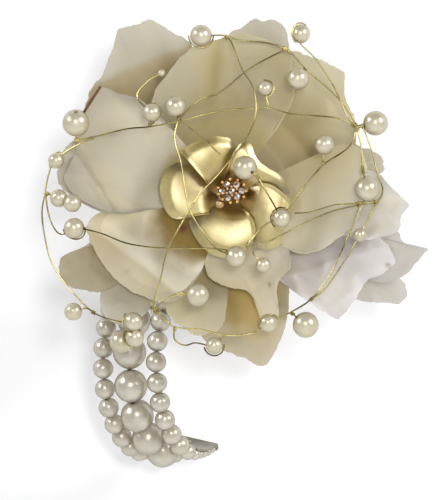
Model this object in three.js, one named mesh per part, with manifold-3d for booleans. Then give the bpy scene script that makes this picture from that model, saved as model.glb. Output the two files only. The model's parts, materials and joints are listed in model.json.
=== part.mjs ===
// Wrist corsage with a flower brooch: a gold brooch in a bloom of cream petals, a cage of gold wire and
// pearls over it, and an open cuff of three pearl strands that the bloom is tied to.
// Millimetres, +Z up. The origin is the middle of the cuff, where the wrist goes through.
// The bloom faces +Z, and +Y runs from the cuff to the top of the bloom.

import * as THREE from 'three';
import { mergeVertices } from 'three/addons/utils/BufferGeometryUtils.js';
import Module from 'manifold-3d';

const wasm = await Module();
wasm.setup();

// Driving dimensions. Angles are in degrees.

const CLEARANCE = 0.3;
const OVERCUT = 1;

// Cuff: three strands of pearls on spring wire, springing from a plate
const CUFF_RADIUS = 29;
const CUFF_LEAN = 63;
const LARGE_PEARL = 9.4;
const SMALL_PEARL = 5.65;
const PEARL_GAP = 0.1;
const ROW_GAP = 1.6;
const SPRING_WIRE = 1.2;
const PLATE_ANGLE = 36;
const PLATE_LENGTH = 8;
const PLATE_EDGE = 3.3;
const PLATE_THICKNESS = 3;
const PLATE_TO_PEARL = { right: 1, centre: 5, left: 3.3 };
const NEAR_END_ANGLE = 203;
const FAR_END_ANGLE = -58;
const END_BAR_LENGTH = 2;
const END_BAR_EDGE = 0.5;
const END_BAR_THICKNESS = 2;

// Stem and its ties
const BLOOM_FROM_PLATE = new THREE.Vector3(24.3, 26.7, 38.9);
const STEM = 4;
const STEM_BEND = 0.25;
const STEM_PAST_PLATE = 9;
const STEM_BEFORE_PLATE = 13;
const TIE_WIDTH = 4;
const TIE_THICKNESS = 1;
const TIE_OFFSET = 4.6;

// Hub and backing of the bloom
const HUB_WALL = 3.5;
const HUB_BELOW_BASE = 0.5;
const BRIDGE_WIDTH = 6;
const BRIDGE_THICKNESS = 1.8;
const BACKING_INSET = 0.5;
const BACKING_THICKNESS = 1.5;

// Bloom petals, on levels one behind the other
const PETAL_THICKNESS = 0.6;
const PETAL_BELOW_HUB = 1.1;
const PETAL_LEVEL = 2.8;
const PETAL_LEVELS = 5;
const PETAL_ABOVE_BACKING = 1.2;
const BOWL_RISE = 12;
const BOWL_REACH = 50;

// Brooch
const BROOCH_PETALS = 5;
const BROOCH_FIRST_ANGLE = 44;
const BROOCH_PETAL_LENGTH = 16;
const BROOCH_PETAL_WIDTH = 17.6;
const BROOCH_PETAL_GAP = 0.8;
const BROOCH_PETAL_THICKNESS = 0.8;
const BROOCH_PETAL_CROWN = 3.4;
const BROOCH_PETAL_TILT = 0.32;
const BASE = 24;
const BASE_THICKNESS = 1;
const SETTING_POST = 4.6;
const SETTING_RIM = 0.35;
const SETTING_HEAD_THICKNESS = 1.4;
const SETTING_BELOW_CROWN = 0.1;
const STONE = 2.2;
const STONE_TABLE = 1.4;
const STONE_SEAT = 1.3;
const STONE_HEIGHT = 1;
const STONE_GIRDLE = 0.55;
const STONE_GAP = 0.55;
const STONES_ROUND = 6;

// Bar pin on the back of the brooch
const BAR_LENGTH = 25;
const BAR_END_GAP = 2;
const BAR_WIDTH = 4;
const BAR_THICKNESS = 0.8;
const HINGE_INSET = 1.5;
const CATCH_INSET = 2.5;
const NEEDLE = 1;
const NEEDLE_BEHIND_BRIDGE = 0.5;
const NEEDLE_PAST_CATCH = 2;
const NEEDLE_POINT = 0.25;
const NEEDLE_POINT_LENGTH = 3;
const EYE_WALL = 0.6;
const EYE_WIDTH = 1.8;
const RIVET = 0.6;
const LUG_THICKNESS = 0.8;
const LUG_LENGTH = 3;
const CATCH_WALL = 0.55;
const CATCH_LENGTH = 2.4;
const SLOT_GAP = 0.25;
const ROLLER_GAP = 0.35;
const ROLLER_WALL = 0.6;
const ROLLER_TAB = 2.8;
const ROLLER_TAB_THICKNESS = 0.8;

// Garland
const GARLAND_WIRE = 0.5;
const CROSSING_GAP = 0.5;
const CAGE_RISE = 13;
const CAGE_RIM_DROP = 2.4;
const CAGE_REACH = 55;
const TAIL_BEND = [-22, -34.4];
const TAIL_TURN = 6;
const TAIL_HANG = 28;

// Fineness of the round shapes
const WIRE_SIDES = 4;
const WIRE_STEP = 6;
const STEM_SIDES = 8;
const STEM_STEPS = 16;
const ROUND_SIDES = 24;
const SMALL_ROUND_SIDES = 12;
const PEARL_SIDES = 8;
const PEARL_RINGS = 4;
const LARGE_PEARL_SIDES = 9;
const LARGE_PEARL_RINGS = 5;
const PETAL_ROWS = 5;
const PETAL_COLUMNS = 10;
const DOME_RINGS = 3;
const DOME_SIDES = 16;

// Finishes

const finish = (colour, roughness, metalness) =>
  new THREE.MeshStandardMaterial({ color: colour, roughness, metalness });

const PETAL_CREAM = finish('#cfc7ae', 0.75, 0);
const PEARL_CREAM = finish('#e2d8ba', 0.25, 0);
const PEARL_GREY = finish('#c3b9a4', 0.25, 0);
const SATIN_GOLD = finish('#d2b565', 0.35, 1);
const GOLD_WIRE = finish('#c9ae62', 0.3, 1);
const PIN_STEEL = finish('#b9b4a6', 0.3, 1);
const CLEAR_STONE = finish('#f2f4f5', 0.05, 0);
const HUB_FOAM = finish('#d8d2bd', 0.9, 0);
const FELT = finish('#e6e0cf', 0.95, 0);
const STEM_TAPE = finish('#8d9370', 0.8, 0);
const TIE_RIBBON = finish('#e0d7bf', 0.7, 0);
const CUFF_METAL = finish('#8f8977', 0.4, 1);

// Solids

function solid(geometry) {
  const bare = geometry.clone();
  bare.deleteAttribute('normal');
  bare.deleteAttribute('uv');
  const merged = mergeVertices(bare);
  const corners = merged.index.array;
  const triangles = [];
  for (let i = 0; i < corners.length; i += 3) {
    const [a, b, c] = [corners[i], corners[i + 1], corners[i + 2]];
    if (a !== b && b !== c && c !== a) triangles.push(a, b, c);
  }
  const vertProperties = Float32Array.from(merged.attributes.position.array);
  const triVerts = Uint32Array.from(triangles);
  return new wasm.Manifold(new wasm.Mesh({ numProp: 3, vertProperties, triVerts }));
}

function geometryOf(manifold) {
  const { vertProperties, triVerts } = manifold.getMesh();
  const geometry = new THREE.BufferGeometry();
  geometry.setAttribute('position', new THREE.BufferAttribute(vertProperties, 3));
  geometry.setIndex(new THREE.BufferAttribute(triVerts, 1));
  geometry.computeVertexNormals();
  return geometry;
}

const joined = (geometries) =>
  geometryOf(geometries.map(solid).reduce((whole, next) => whole.add(next)));

const cut = (geometry, ...cutters) =>
  geometryOf(cutters.map(solid).reduce((whole, next) => whole.subtract(next), solid(geometry)));

function piece(name, geometry, material) {
  const mesh = new THREE.Mesh(geometry, material);
  mesh.name = name;
  return mesh;
}

const radians = THREE.MathUtils.degToRad;

function box(sizeX, sizeY, sizeZ, x, y, z) {
  return new THREE.BoxGeometry(sizeX, sizeY, sizeZ).translate(x, y, z);
}

function disc(diameter, thickness, bottom, sides = ROUND_SIDES) {
  const geometry = new THREE.CylinderGeometry(diameter / 2, diameter / 2, thickness, sides);
  return geometry.rotateX(Math.PI / 2).translate(0, 0, bottom + thickness / 2);
}

function pearl(diameter, centre, sides = PEARL_SIDES, rings = PEARL_RINGS) {
  return new THREE.SphereGeometry(diameter / 2, sides, rings).translate(centre.x, centre.y, centre.z);
}

function tube(diameter, path, steps, sides = WIRE_SIDES) {
  const section = new THREE.Shape();
  for (let i = 0; i < sides; i += 1) {
    const angle = (2 * Math.PI * i) / sides;
    const point = [(diameter / 2) * Math.cos(angle), (diameter / 2) * Math.sin(angle)];
    if (i === 0) section.moveTo(...point);
    else section.lineTo(...point);
  }
  return new THREE.ExtrudeGeometry(section, { steps, extrudePath: path, bevelEnabled: false });
}

// A curve that runs straight from point to point, so a tube along it meets every point exactly
class Polyline extends THREE.Curve {
  constructor(points) {
    super();
    this.points = points;
  }

  getPoint(share, target = new THREE.Vector3()) {
    const place = THREE.MathUtils.clamp(share, 0, 1) * (this.points.length - 1);
    const before = Math.min(Math.floor(place), this.points.length - 2);
    return target.lerpVectors(this.points[before], this.points[before + 1], place - before);
  }

  getUtoTmapping(share) {
    return share;
  }
}

function wire(stops, diameter) {
  const smooth = new THREE.CatmullRomCurve3(stops, false, 'centripetal');
  const spans = stops.length - 1;
  const points = [stops[0]];
  for (let i = 0; i < spans; i += 1) {
    const parts = Math.max(1, Math.round(stops[i].distanceTo(stops[i + 1]) / WIRE_STEP));
    for (let j = 1; j <= parts; j += 1) points.push(smooth.getPoint((i + j / parts) / spans));
  }
  return tube(diameter, new Polyline(points), points.length - 1);
}

// Cuff. Its axis leans from +Z towards +X. An angle on the cuff starts at +Y and grows towards the viewer.

const lean = radians(CUFF_LEAN);
const cuffUp = new THREE.Vector3(0, 1, 0);
const cuffNear = new THREE.Vector3(-Math.cos(lean), 0, Math.sin(lean));
const cuffAxis = new THREE.Vector3(Math.sin(lean), 0, Math.cos(lean));
const cuff = new THREE.Group();
cuff.setRotationFromMatrix(new THREE.Matrix4().makeBasis(cuffUp, cuffNear, cuffAxis));

const degreesAlong = (length) => THREE.MathUtils.radToDeg(length / CUFF_RADIUS);
const rowSpacing = (LARGE_PEARL + SMALL_PEARL) / 2 + ROW_GAP;
const ROWS = { right: rowSpacing, centre: 0, left: -rowSpacing };
const acrossRows = 2 * rowSpacing + SPRING_WIRE;
const plateHalf = degreesAlong(PLATE_LENGTH / 2);

class CuffArc extends THREE.Curve {
  constructor(start, end, row) {
    super();
    this.start = start;
    this.end = end;
    this.row = row;
  }

  getPoint(share, target = new THREE.Vector3()) {
    const angle = radians(THREE.MathUtils.lerp(this.start, this.end, share));
    return target.set(CUFF_RADIUS * Math.cos(angle), CUFF_RADIUS * Math.sin(angle), this.row);
  }
}

function strand(row, start, end, large, lead) {
  const way = Math.sign(end - start);
  const size = large ? LARGE_PEARL : SMALL_PEARL;
  const pitch = degreesAlong(size + PEARL_GAP);
  const first = degreesAlong(lead + size / 2);
  const room = Math.abs(end - start) - first - degreesAlong(size / 2 + CLEARANCE);
  const count = Math.floor(room / pitch) + 1;
  const gap = degreesAlong(CLEARANCE);
  const arc = new CuffArc(start + way * gap, end - way * gap, row);
  const steps = Math.ceil(Math.abs(end - start) / pitch);
  const pearls = Array.from({ length: count }, (_, i) => {
    const centre = new CuffArc(start + way * (first + i * pitch), 0, row).getPoint(0);
    if (large) return pearl(size, centre, LARGE_PEARL_SIDES, LARGE_PEARL_RINGS);
    return pearl(size, centre);
  });
  return joined([tube(SPRING_WIRE, arc, steps), ...pearls]);
}

function cuffBar(length, width, thickness, angle) {
  const bar = box(thickness, length, width, CUFF_RADIUS, 0, 0);
  return bar.rotateZ(radians(angle));
}

const plateWidth = acrossRows + 2 * PLATE_EDGE;
const endBarWidth = acrossRows + 2 * END_BAR_EDGE;
const plate = cuffBar(PLATE_LENGTH, plateWidth, PLATE_THICKNESS, PLATE_ANGLE);
cuff.add(piece('cuff_plate', plate, CUFF_METAL));
const ARMS = {
  near: { start: PLATE_ANGLE + plateHalf, end: NEAR_END_ANGLE },
  far: { start: PLATE_ANGLE - plateHalf, end: FAR_END_ANGLE },
};
for (const [arm, { start, end }] of Object.entries(ARMS)) {
  for (const [rowName, row] of Object.entries(ROWS)) {
    const strandShape = strand(row, start, end, rowName === 'centre', PLATE_TO_PEARL[rowName]);
    cuff.add(piece(`${arm}_strand_${rowName}`, strandShape, PEARL_GREY));
  }
  const barAngle = end + Math.sign(end - start) * degreesAlong(END_BAR_LENGTH / 2);
  const bar = cuffBar(END_BAR_LENGTH, endBarWidth, END_BAR_THICKNESS, barAngle);
  cuff.add(piece(`${arm}_end_bar`, bar, CUFF_METAL));
}

// Heights in the bloom, from the back of the brooch's base plate

const hubTop = -HUB_BELOW_BASE;
const hubHeight = PETAL_BELOW_HUB + (PETAL_LEVELS - 1) * PETAL_LEVEL + PETAL_ABOVE_BACKING;
const hubBottom = hubTop - hubHeight;
const backingBottom = hubBottom - CLEARANCE - BACKING_THICKNESS;
const petalTop = hubTop - PETAL_BELOW_HUB;
const barTop = -CLEARANCE;
const barBottom = barTop - BAR_THICKNESS;
const bridgeTop = barBottom - CLEARANCE;
const needleHeight = bridgeTop - BRIDGE_THICKNESS - NEEDLE_BEHIND_BRIDGE - NEEDLE / 2;

// Stem: a taped wire from the back of the bloom, laid along the cuff plate, with two ties round both

const plateOut = cuffUp.clone().multiplyScalar(Math.cos(radians(PLATE_ANGLE)))
  .addScaledVector(cuffNear, Math.sin(radians(PLATE_ANGLE)));
const plateMiddle = plateOut.clone().multiplyScalar(CUFF_RADIUS);
const bloomSeat = plateMiddle.clone().add(BLOOM_FROM_PLATE);
const stemMiddle = plateOut.clone()
  .multiplyScalar(CUFF_RADIUS + PLATE_THICKNESS / 2 + CLEARANCE + STEM / 2);
const alongPlate = (distance) => stemMiddle.clone().addScaledVector(cuffAxis, distance);
const stemTop = bloomSeat.clone().add(new THREE.Vector3(0, 0, backingBottom - CLEARANCE));
const stemDown = stemTop.clone().add(new THREE.Vector3(0, 0, -STEM));
const stemTurn = alongPlate(STEM_BEFORE_PLATE + STEM).lerp(stemDown, STEM_BEND);
const stemPath = new THREE.CatmullRomCurve3([
  stemTop,
  stemDown,
  stemTurn,
  alongPlate(STEM_BEFORE_PLATE),
  alongPlate(STEM_BEFORE_PLATE / 2),
  alongPlate(-STEM_PAST_PLATE),
], false, 'centripetal');
const stem = piece('taped_stem', tube(STEM, stemPath, STEM_STEPS, STEM_SIDES), STEM_TAPE);

const tieMiddle = CUFF_RADIUS + (STEM + CLEARANCE) / 2;
const tieTall = PLATE_THICKNESS + STEM + 3 * CLEARANCE + 2 * TIE_THICKNESS;

function tie(offset) {
  const long = PLATE_LENGTH + 2 * CLEARANCE + 2 * TIE_THICKNESS;
  const wall = 2 * TIE_THICKNESS;
  const outside = box(tieTall, long, TIE_WIDTH, tieMiddle, 0, offset);
  const inside = box(tieTall - wall, long - wall, TIE_WIDTH + OVERCUT, tieMiddle, 0, offset);
  return cut(outside, inside).rotateZ(radians(PLATE_ANGLE));
}

cuff.add(piece('stem_tie_right', tie(TIE_OFFSET), TIE_RIBBON));
cuff.add(piece('stem_tie_left', tie(-TIE_OFFSET), TIE_RIBBON));

// Hub and backing. The hub leaves room for the bar pin, and the pin's needle goes behind its bridge.

const bloom = new THREE.Group();
bloom.position.copy(bloomSeat);

const hubHole = BAR_LENGTH + 2 * BAR_END_GAP;
const hub = hubHole + 2 * HUB_WALL;
const hubBore = disc(hubHole, hubHeight + 2 * OVERCUT, hubBottom - OVERCUT);
const hubRing = cut(disc(hub, hubHeight, hubBottom), hubBore);
const bridgeLength = hubHole + HUB_WALL;
const bridgeMiddle = bridgeTop - BRIDGE_THICKNESS / 2;
const bridge = box(BRIDGE_WIDTH, bridgeLength, BRIDGE_THICKNESS, 0, 0, bridgeMiddle);
bloom.add(piece('bloom_hub', joined([hubRing, bridge]), HUB_FOAM));
const backing = disc(hub - 2 * BACKING_INSET, BACKING_THICKNESS, backingBottom);
bloom.add(piece('felt_backing', backing, FELT));

// Bloom petals: thin shells glued to the side of the hub. Each edge lists points [x, y] round the petal as
// the bloom is seen from the front, clockwise. Level 0 is the foremost, and each level lies behind the last.

const PETALS = {
  top_inner: { level: 1, curl: 1.5, ripple: 0.6, waves: 3,
    edge: [[-20, 17], [-22.5, 25], [-18.5, 34.5], [-11, 42], [-1, 46], [8.5, 45.5], [16.5, 43], [19, 35],
      [18.5, 27], [14, 19]] },
  right_inner: { level: 0, curl: 1.5, ripple: 0.6, waves: 3,
    edge: [[29, 13.2], [33.5, 15], [37.5, 13.5], [39.8, 10], [40.5, 3], [37.5, -6], [31.5, -13], [23, -17],
      [16, -15]] },
  left_inner: { level: 0, curl: 0.8, ripple: 0.6, waves: 3,
    edge: [[-21, -4], [-30, -5], [-37, -4], [-43, -1], [-46.8, 2.5], [-47, 6.5], [-45, 11], [-42.3, 21.5],
      [-40.5, 27], [-37, 31], [-31.5, 29], [-25.5, 27.5], [-17, 20]] },
  bottom_inner: { level: 1, curl: 0.5, ripple: 0.8, waves: 4,
    edge: [[18, -15], [18, -22], [14.5, -26], [14.5, -34], [12.5, -39.5], [10, -37], [8, -31], [5.5, -28],
      [0, -27], [-5, -24.5], [-7, -20]] },
  lower_left_inner: { level: 2, curl: 0.5, ripple: 0.6, waves: 2,
    edge: [[-8, -23], [-15, -31], [-23, -30.5], [-28, -28], [-33.5, -24], [-38.5, -17.5], [-41, -10.5],
      [-39, -6], [-33, -3], [-24, -1]] },
  lower_right: { level: 2, curl: -1, ripple: 1, waves: 4,
    edge: [[40, -9], [49, -18.5], [45.5, -23], [39.5, -25.5], [36, -31], [32, -36], [27, -33.5], [22, -30],
      [14, -24]] },
  top_left_back: { level: 2, curl: -1, ripple: 0.9, waves: 3,
    edge: [[-36, 20], [-40.5, 28], [-35, 38], [-32.5, 48.5], [-23, 51.5], [-17, 48], [-11, 44], [-8, 33]] },
  top_back: { level: 3, curl: -2, ripple: 0.9, waves: 3,
    edge: [[-3, 36], [0, 46], [6, 51.5], [12, 51.5], [16.5, 49.5], [18, 42], [16, 33]] },
  top_right_back: { level: 2, curl: -1, ripple: 0.9, waves: 3,
    edge: [[12, 33], [17.5, 41.5], [27, 39.5], [34.5, 36], [34.5, 31], [36, 25], [37.5, 19], [36, 11]] },
  right_back: { level: 3, curl: -2, ripple: 0.6, waves: 2,
    edge: [[33, 17], [40, 14.5], [45, 12.5], [46, 8], [43, 5], [36, 1]] },
  right_outer: { level: 1, curl: 0, ripple: 0.9, waves: 3,
    edge: [[36, 8], [44, 6], [49.5, 0.5], [52.5, -3], [51, -7.5], [49.5, -11], [42, -13], [33, -12]] },
  right_point: { level: 3, curl: -2, ripple: 0.9, waves: 3,
    edge: [[39, -7], [49, -10], [53, -13.8], [59, -16], [54.5, -20.5], [50, -24.5], [42, -25], [30, -20]] },
  lower_right_back: { level: 4, curl: -2.5, ripple: 0.6, waves: 2,
    edge: [[39, -16.5], [49, -23], [52, -27], [51, -31.5], [46, -31.5], [38, -30.5], [28, -25]] },
  bottom_back: { level: 4, curl: -1.5, ripple: 0.6, waves: 2,
    edge: [[18, -22], [18, -33], [16, -41], [12.5, -48.5], [9.5, -50], [5, -48], [-2, -45.5], [-8, -42],
      [-11, -36], [-9, -26]] },
  bottom_left: { level: 3, curl: -1, ripple: 0.6, waves: 2,
    edge: [[0, -30], [-2, -39], [-7, -41], [-13, -39], [-17, -36], [-18.5, -31], [-17, -24]] },
  lower_left_outer: { level: 3, curl: -2, ripple: 0.8, waves: 3,
    edge: [[-31, -25], [-36, -28], [-42, -27.5], [-48, -26], [-50, -23], [-49, -18.5], [-43, -15.5],
      [-36, -11], [-27, -7]] },
  lower_left_back: { level: 4, curl: -2.5, ripple: 0.6, waves: 2,
    edge: [[-16.5, -26], [-23.5, -34], [-27.5, -37], [-32, -38], [-36, -35.5], [-37.5, -30], [-33, -22],
      [-25, -15]] },
  left_outer: { level: 1, curl: -1.5, ripple: 0.8, waves: 2,
    edge: [[-30, -5.5], [-37, -5], [-44.5, -1], [-49, 3], [-49.5, 9], [-45.5, 15.5], [-38, 19], [-28, 16]] },
};

function sheetSolid(rows, columns, middle, thickness) {
  const positions = [];
  for (const side of [0.5, -0.5]) {
    for (let row = 0; row <= rows; row += 1) {
      for (let column = 0; column <= columns; column += 1) {
        const { x, y, z } = middle(row / rows, column / columns);
        positions.push(x, y, z + side * thickness);
      }
    }
  }
  const layer = (rows + 1) * (columns + 1);
  const at = (row, column) => row * (columns + 1) + column;
  const faces = [];
  for (let row = 0; row < rows; row += 1) {
    for (let column = 0; column < columns; column += 1) {
      const [a, b] = [at(row, column), at(row, column + 1)];
      const [c, d] = [at(row + 1, column + 1), at(row + 1, column)];
      faces.push(a, b, c, a, c, d);
      faces.push(layer + a, layer + c, layer + b, layer + a, layer + d, layer + c);
    }
  }
  const rim = [];
  for (let column = 0; column < columns; column += 1) rim.push([at(0, column + 1), at(0, column)]);
  for (let row = 0; row < rows; row += 1) rim.push([at(row, 0), at(row + 1, 0)]);
  for (let column = 0; column < columns; column += 1) rim.push([at(rows, column), at(rows, column + 1)]);
  for (let row = 0; row < rows; row += 1) rim.push([at(row + 1, columns), at(row, columns)]);
  for (const [a, b] of rim) faces.push(a, layer + b, layer + a, a, b, layer + b);
  const geometry = new THREE.BufferGeometry();
  geometry.setAttribute('position', new THREE.Float32BufferAttribute(positions, 3));
  geometry.setIndex(faces);
  geometry.computeVertexNormals();
  return geometry;
}

function bloomPetal({ level, curl, ripple, waves, edge }) {
  const rim = edge.map(([x, y]) => new THREE.Vector3(x, y, 0));
  const outline = new THREE.CatmullRomCurve3(rim, false, 'centripetal');
  const foot = hub / 2 + CLEARANCE;
  const bottom = petalTop - level * PETAL_LEVEL;
  const [first, last] = [rim[0], rim.at(-1)].map(({ x, y }) => Math.atan2(y, x));
  const sweep = THREE.MathUtils.euclideanModulo(first - last, 2 * Math.PI);
  const middle = (out, across) => {
    const side = 2 * across - 1;
    const angle = first - across * sweep;
    const root = new THREE.Vector3(foot * Math.cos(angle), foot * Math.sin(angle), 0);
    const point = root.lerp(outline.getPointAt(across), out);
    const reach = THREE.MathUtils.smoothstep(Math.hypot(point.x, point.y), foot, BOWL_REACH);
    const wave = ripple * out ** 4 * Math.sin(Math.PI * waves * side);
    point.z = bottom + BOWL_RISE * reach + curl * out ** 3 + wave;
    return point;
  };
  return sheetSolid(PETAL_ROWS, PETAL_COLUMNS, middle, PETAL_THICKNESS);
}

for (const [name, petal] of Object.entries(PETALS)) {
  bloom.add(piece(`petal_${name}`, bloomPetal(petal), PETAL_CREAM));
}

// Brooch: base plate, five domed petals, and the setting with its stones

const baseBottom = 0;
bloom.add(piece('brooch_base', disc(BASE, BASE_THICKNESS, baseBottom), SATIN_GOLD));

const petalLow = BROOCH_PETAL_TILT * (BROOCH_PETAL_WIDTH / 2) + BROOCH_PETAL_THICKNESS / 2;
const petalHeight = baseBottom + BASE_THICKNESS + CLEARANCE + petalLow;
const petalCentre = SETTING_POST / 2 + BROOCH_PETAL_GAP + BROOCH_PETAL_LENGTH / 2;

function broochPetal() {
  const shape = (ring, turn, side) => {
    const angle = 2 * Math.PI * turn;
    const x = petalCentre + (BROOCH_PETAL_LENGTH / 2) * ring * Math.cos(angle);
    const y = (BROOCH_PETAL_WIDTH / 2) * ring * Math.sin(angle);
    const crown = BROOCH_PETAL_CROWN * (1 - ring ** 2);
    return [x, y, petalHeight + crown + BROOCH_PETAL_TILT * y + side * BROOCH_PETAL_THICKNESS];
  };
  const positions = [];
  for (const side of [0.5, -0.5]) {
    positions.push(...shape(0, 0, side));
    for (let ring = 1; ring <= DOME_RINGS; ring += 1) {
      for (let i = 0; i < DOME_SIDES; i += 1) {
        positions.push(...shape(ring / DOME_RINGS, i / DOME_SIDES, side));
      }
    }
  }
  const layer = 1 + DOME_RINGS * DOME_SIDES;
  const at = (ring, i) => (ring === 0 ? 0 : 1 + (ring - 1) * DOME_SIDES + (i % DOME_SIDES));
  const faces = [];
  for (let i = 0; i < DOME_SIDES; i += 1) {
    faces.push(0, at(1, i), at(1, i + 1), layer, layer + at(1, i + 1), layer + at(1, i));
    for (let ring = 1; ring < DOME_RINGS; ring += 1) {
      const [a, b, c, d] = [at(ring, i), at(ring + 1, i), at(ring + 1, i + 1), at(ring, i + 1)];
      faces.push(a, b, c, a, c, d);
      faces.push(layer + a, layer + c, layer + b, layer + a, layer + d, layer + c);
    }
    const [a, b] = [at(DOME_RINGS, i), at(DOME_RINGS, i + 1)];
    faces.push(a, layer + a, layer + b, a, layer + b, b);
  }
  const geometry = new THREE.BufferGeometry();
  geometry.setAttribute('position', new THREE.Float32BufferAttribute(positions, 3));
  geometry.setIndex(faces);
  geometry.computeVertexNormals();
  return geometry;
}

for (let i = 0; i < BROOCH_PETALS; i += 1) {
  const petal = piece(`brooch_petal_${i + 1}`, broochPetal(), SATIN_GOLD);
  petal.rotation.z = radians(BROOCH_FIRST_ANGLE + (360 / BROOCH_PETALS) * i);
  bloom.add(petal);
}

const settingBottom = baseBottom + BASE_THICKNESS + CLEARANCE;
const crownTop = petalHeight + BROOCH_PETAL_CROWN + BROOCH_PETAL_THICKNESS / 2;
const settingTop = crownTop - SETTING_BELOW_CROWN;
const stoneRing = STONE + STONE_GAP;
const settingHead = 2 * (stoneRing + STONE / 2 + SETTING_RIM);
const post = disc(SETTING_POST, settingTop - settingBottom, settingBottom, SMALL_ROUND_SIDES);
const head = disc(settingHead, SETTING_HEAD_THICKNESS, settingTop - SETTING_HEAD_THICKNESS);
bloom.add(piece('stone_setting', joined([post, head]), SATIN_GOLD));

function stone() {
  const profile = [
    new THREE.Vector2(0, 0),
    new THREE.Vector2(STONE_SEAT / 2, 0),
    new THREE.Vector2(STONE / 2, STONE_GIRDLE),
    new THREE.Vector2(STONE_TABLE / 2, STONE_HEIGHT),
    new THREE.Vector2(0, STONE_HEIGHT),
  ];
  return geometryOf(solid(new THREE.LatheGeometry(profile, PEARL_SIDES).rotateX(Math.PI / 2)));
}

for (let i = 0; i <= STONES_ROUND; i += 1) {
  const gem = piece(`stone_${i + 1}`, stone(), CLEAR_STONE);
  const angle = (2 * Math.PI * i) / STONES_ROUND;
  const distance = i === 0 ? 0 : stoneRing;
  gem.position.set(distance * Math.cos(angle), distance * Math.sin(angle), settingTop + CLEARANCE);
  bloom.add(gem);
}

// Bar pin: a strip with hinge lugs and a slotted catch ring, the needle, and the roller that locks it

const hingePlace = -BAR_LENGTH / 2 + HINGE_INSET;
const catchPlace = BAR_LENGTH / 2 - CATCH_INSET;
const needleTip = catchPlace + NEEDLE_PAST_CATCH;
const eyeHole = RIVET + 2 * CLEARANCE;
const eyeSize = eyeHole + 2 * EYE_WALL;
const rollerBore = NEEDLE + 2 * ROLLER_GAP;
const rollerSize = rollerBore + 2 * ROLLER_WALL;
const rollerSlot = NEEDLE + 2 * SLOT_GAP;
const catchBore = rollerSize + 2 * CLEARANCE;
const catchSize = catchBore + 2 * CATCH_WALL;
const catchSlot = rollerSlot + CLEARANCE;

function roundBar(diameter, length, axis, place) {
  const bar = new THREE.CylinderGeometry(diameter / 2, diameter / 2, length, SMALL_ROUND_SIDES);
  if (axis === 'x') bar.rotateZ(Math.PI / 2);
  return bar.translate(place, 0, needleHeight);
}

function barPin() {
  const strip = box(BAR_LENGTH, BAR_WIDTH, BAR_THICKNESS, 0, 0, barTop - BAR_THICKNESS / 2);
  const lugPlace = EYE_WIDTH / 2 + CLEARANCE + LUG_THICKNESS / 2;
  const lugHeight = barTop - needleHeight + eyeSize / 2;
  const lugs = [1, -1].map((side) =>
    box(LUG_LENGTH, LUG_THICKNESS, lugHeight, hingePlace, side * lugPlace, barTop - lugHeight / 2));
  const rivet = roundBar(RIVET, 2 * lugPlace, 'y', hingePlace);
  const ring = cut(
    roundBar(catchSize, CATCH_LENGTH, 'x', catchPlace),
    roundBar(catchBore, CATCH_LENGTH + OVERCUT, 'x', catchPlace),
    box(CATCH_LENGTH + OVERCUT, catchSlot, catchSize, catchPlace, 0, needleHeight - catchSize / 2),
  );
  const neckHeight = barTop - needleHeight - (catchSize - CATCH_WALL) / 2;
  const neck = box(CATCH_LENGTH, BAR_WIDTH / 2, neckHeight, catchPlace, 0, barTop - neckHeight / 2);
  return joined([strip, ...lugs, rivet, ring, neck]);
}

function needle() {
  const eye = cut(
    roundBar(eyeSize, EYE_WIDTH, 'y', hingePlace),
    roundBar(eyeHole, EYE_WIDTH + OVERCUT, 'y', hingePlace),
  );
  const shaftStart = hingePlace + (eyeSize - EYE_WALL) / 2;
  const profile = [
    new THREE.Vector2(0, shaftStart),
    new THREE.Vector2(NEEDLE / 2, shaftStart),
    new THREE.Vector2(NEEDLE / 2, needleTip - NEEDLE_POINT_LENGTH),
    new THREE.Vector2(NEEDLE_POINT / 2, needleTip),
    new THREE.Vector2(0, needleTip),
  ];
  const shaft = new THREE.LatheGeometry(profile, PEARL_SIDES).rotateZ(-Math.PI / 2);
  return joined([eye, shaft.translate(0, 0, needleHeight)]);
}

function catchRoller() {
  const length = CATCH_LENGTH + CLEARANCE + ROLLER_TAB_THICKNESS;
  const middle = catchPlace - CATCH_LENGTH / 2 + length / 2;
  const tabPlace = middle + (length - ROLLER_TAB_THICKNESS) / 2;
  const tabWidth = ROLLER_TAB / 2;
  const tab = box(ROLLER_TAB_THICKNESS, ROLLER_TAB, tabWidth, tabPlace, -ROLLER_TAB / 2, needleHeight);
  return cut(
    joined([roundBar(rollerSize, length, 'x', middle), tab]),
    roundBar(rollerBore, length + OVERCUT, 'x', middle),
    box(length + OVERCUT, rollerSlot, rollerSize, middle, 0, needleHeight - rollerSize / 2),
  );
}

bloom.add(piece('pin_bar', barPin(), SATIN_GOLD));
bloom.add(piece('pin_needle', needle(), PIN_STEEL));
bloom.add(piece('catch_roller', catchRoller(), SATIN_GOLD));

// Garland: four lengths of wire over the bloom, on a shallow dome, with small pearls twisted into them.
// A route lists points [x, y] as seen from the front. The wires cross one above the other.

const cageRim = petalTop + BOWL_RISE - CAGE_RIM_DROP;
const cageHeight = (x, y) => cageRim + CAGE_RISE * (1 - (Math.hypot(x, y) / CAGE_REACH) ** 2);
const wireLayer = GARLAND_WIRE + CROSSING_GAP;
const onCage = ([x, y], layer, drop = 0) =>
  new THREE.Vector3(x, y, cageHeight(x, y) + layer * wireLayer - drop);

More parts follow.
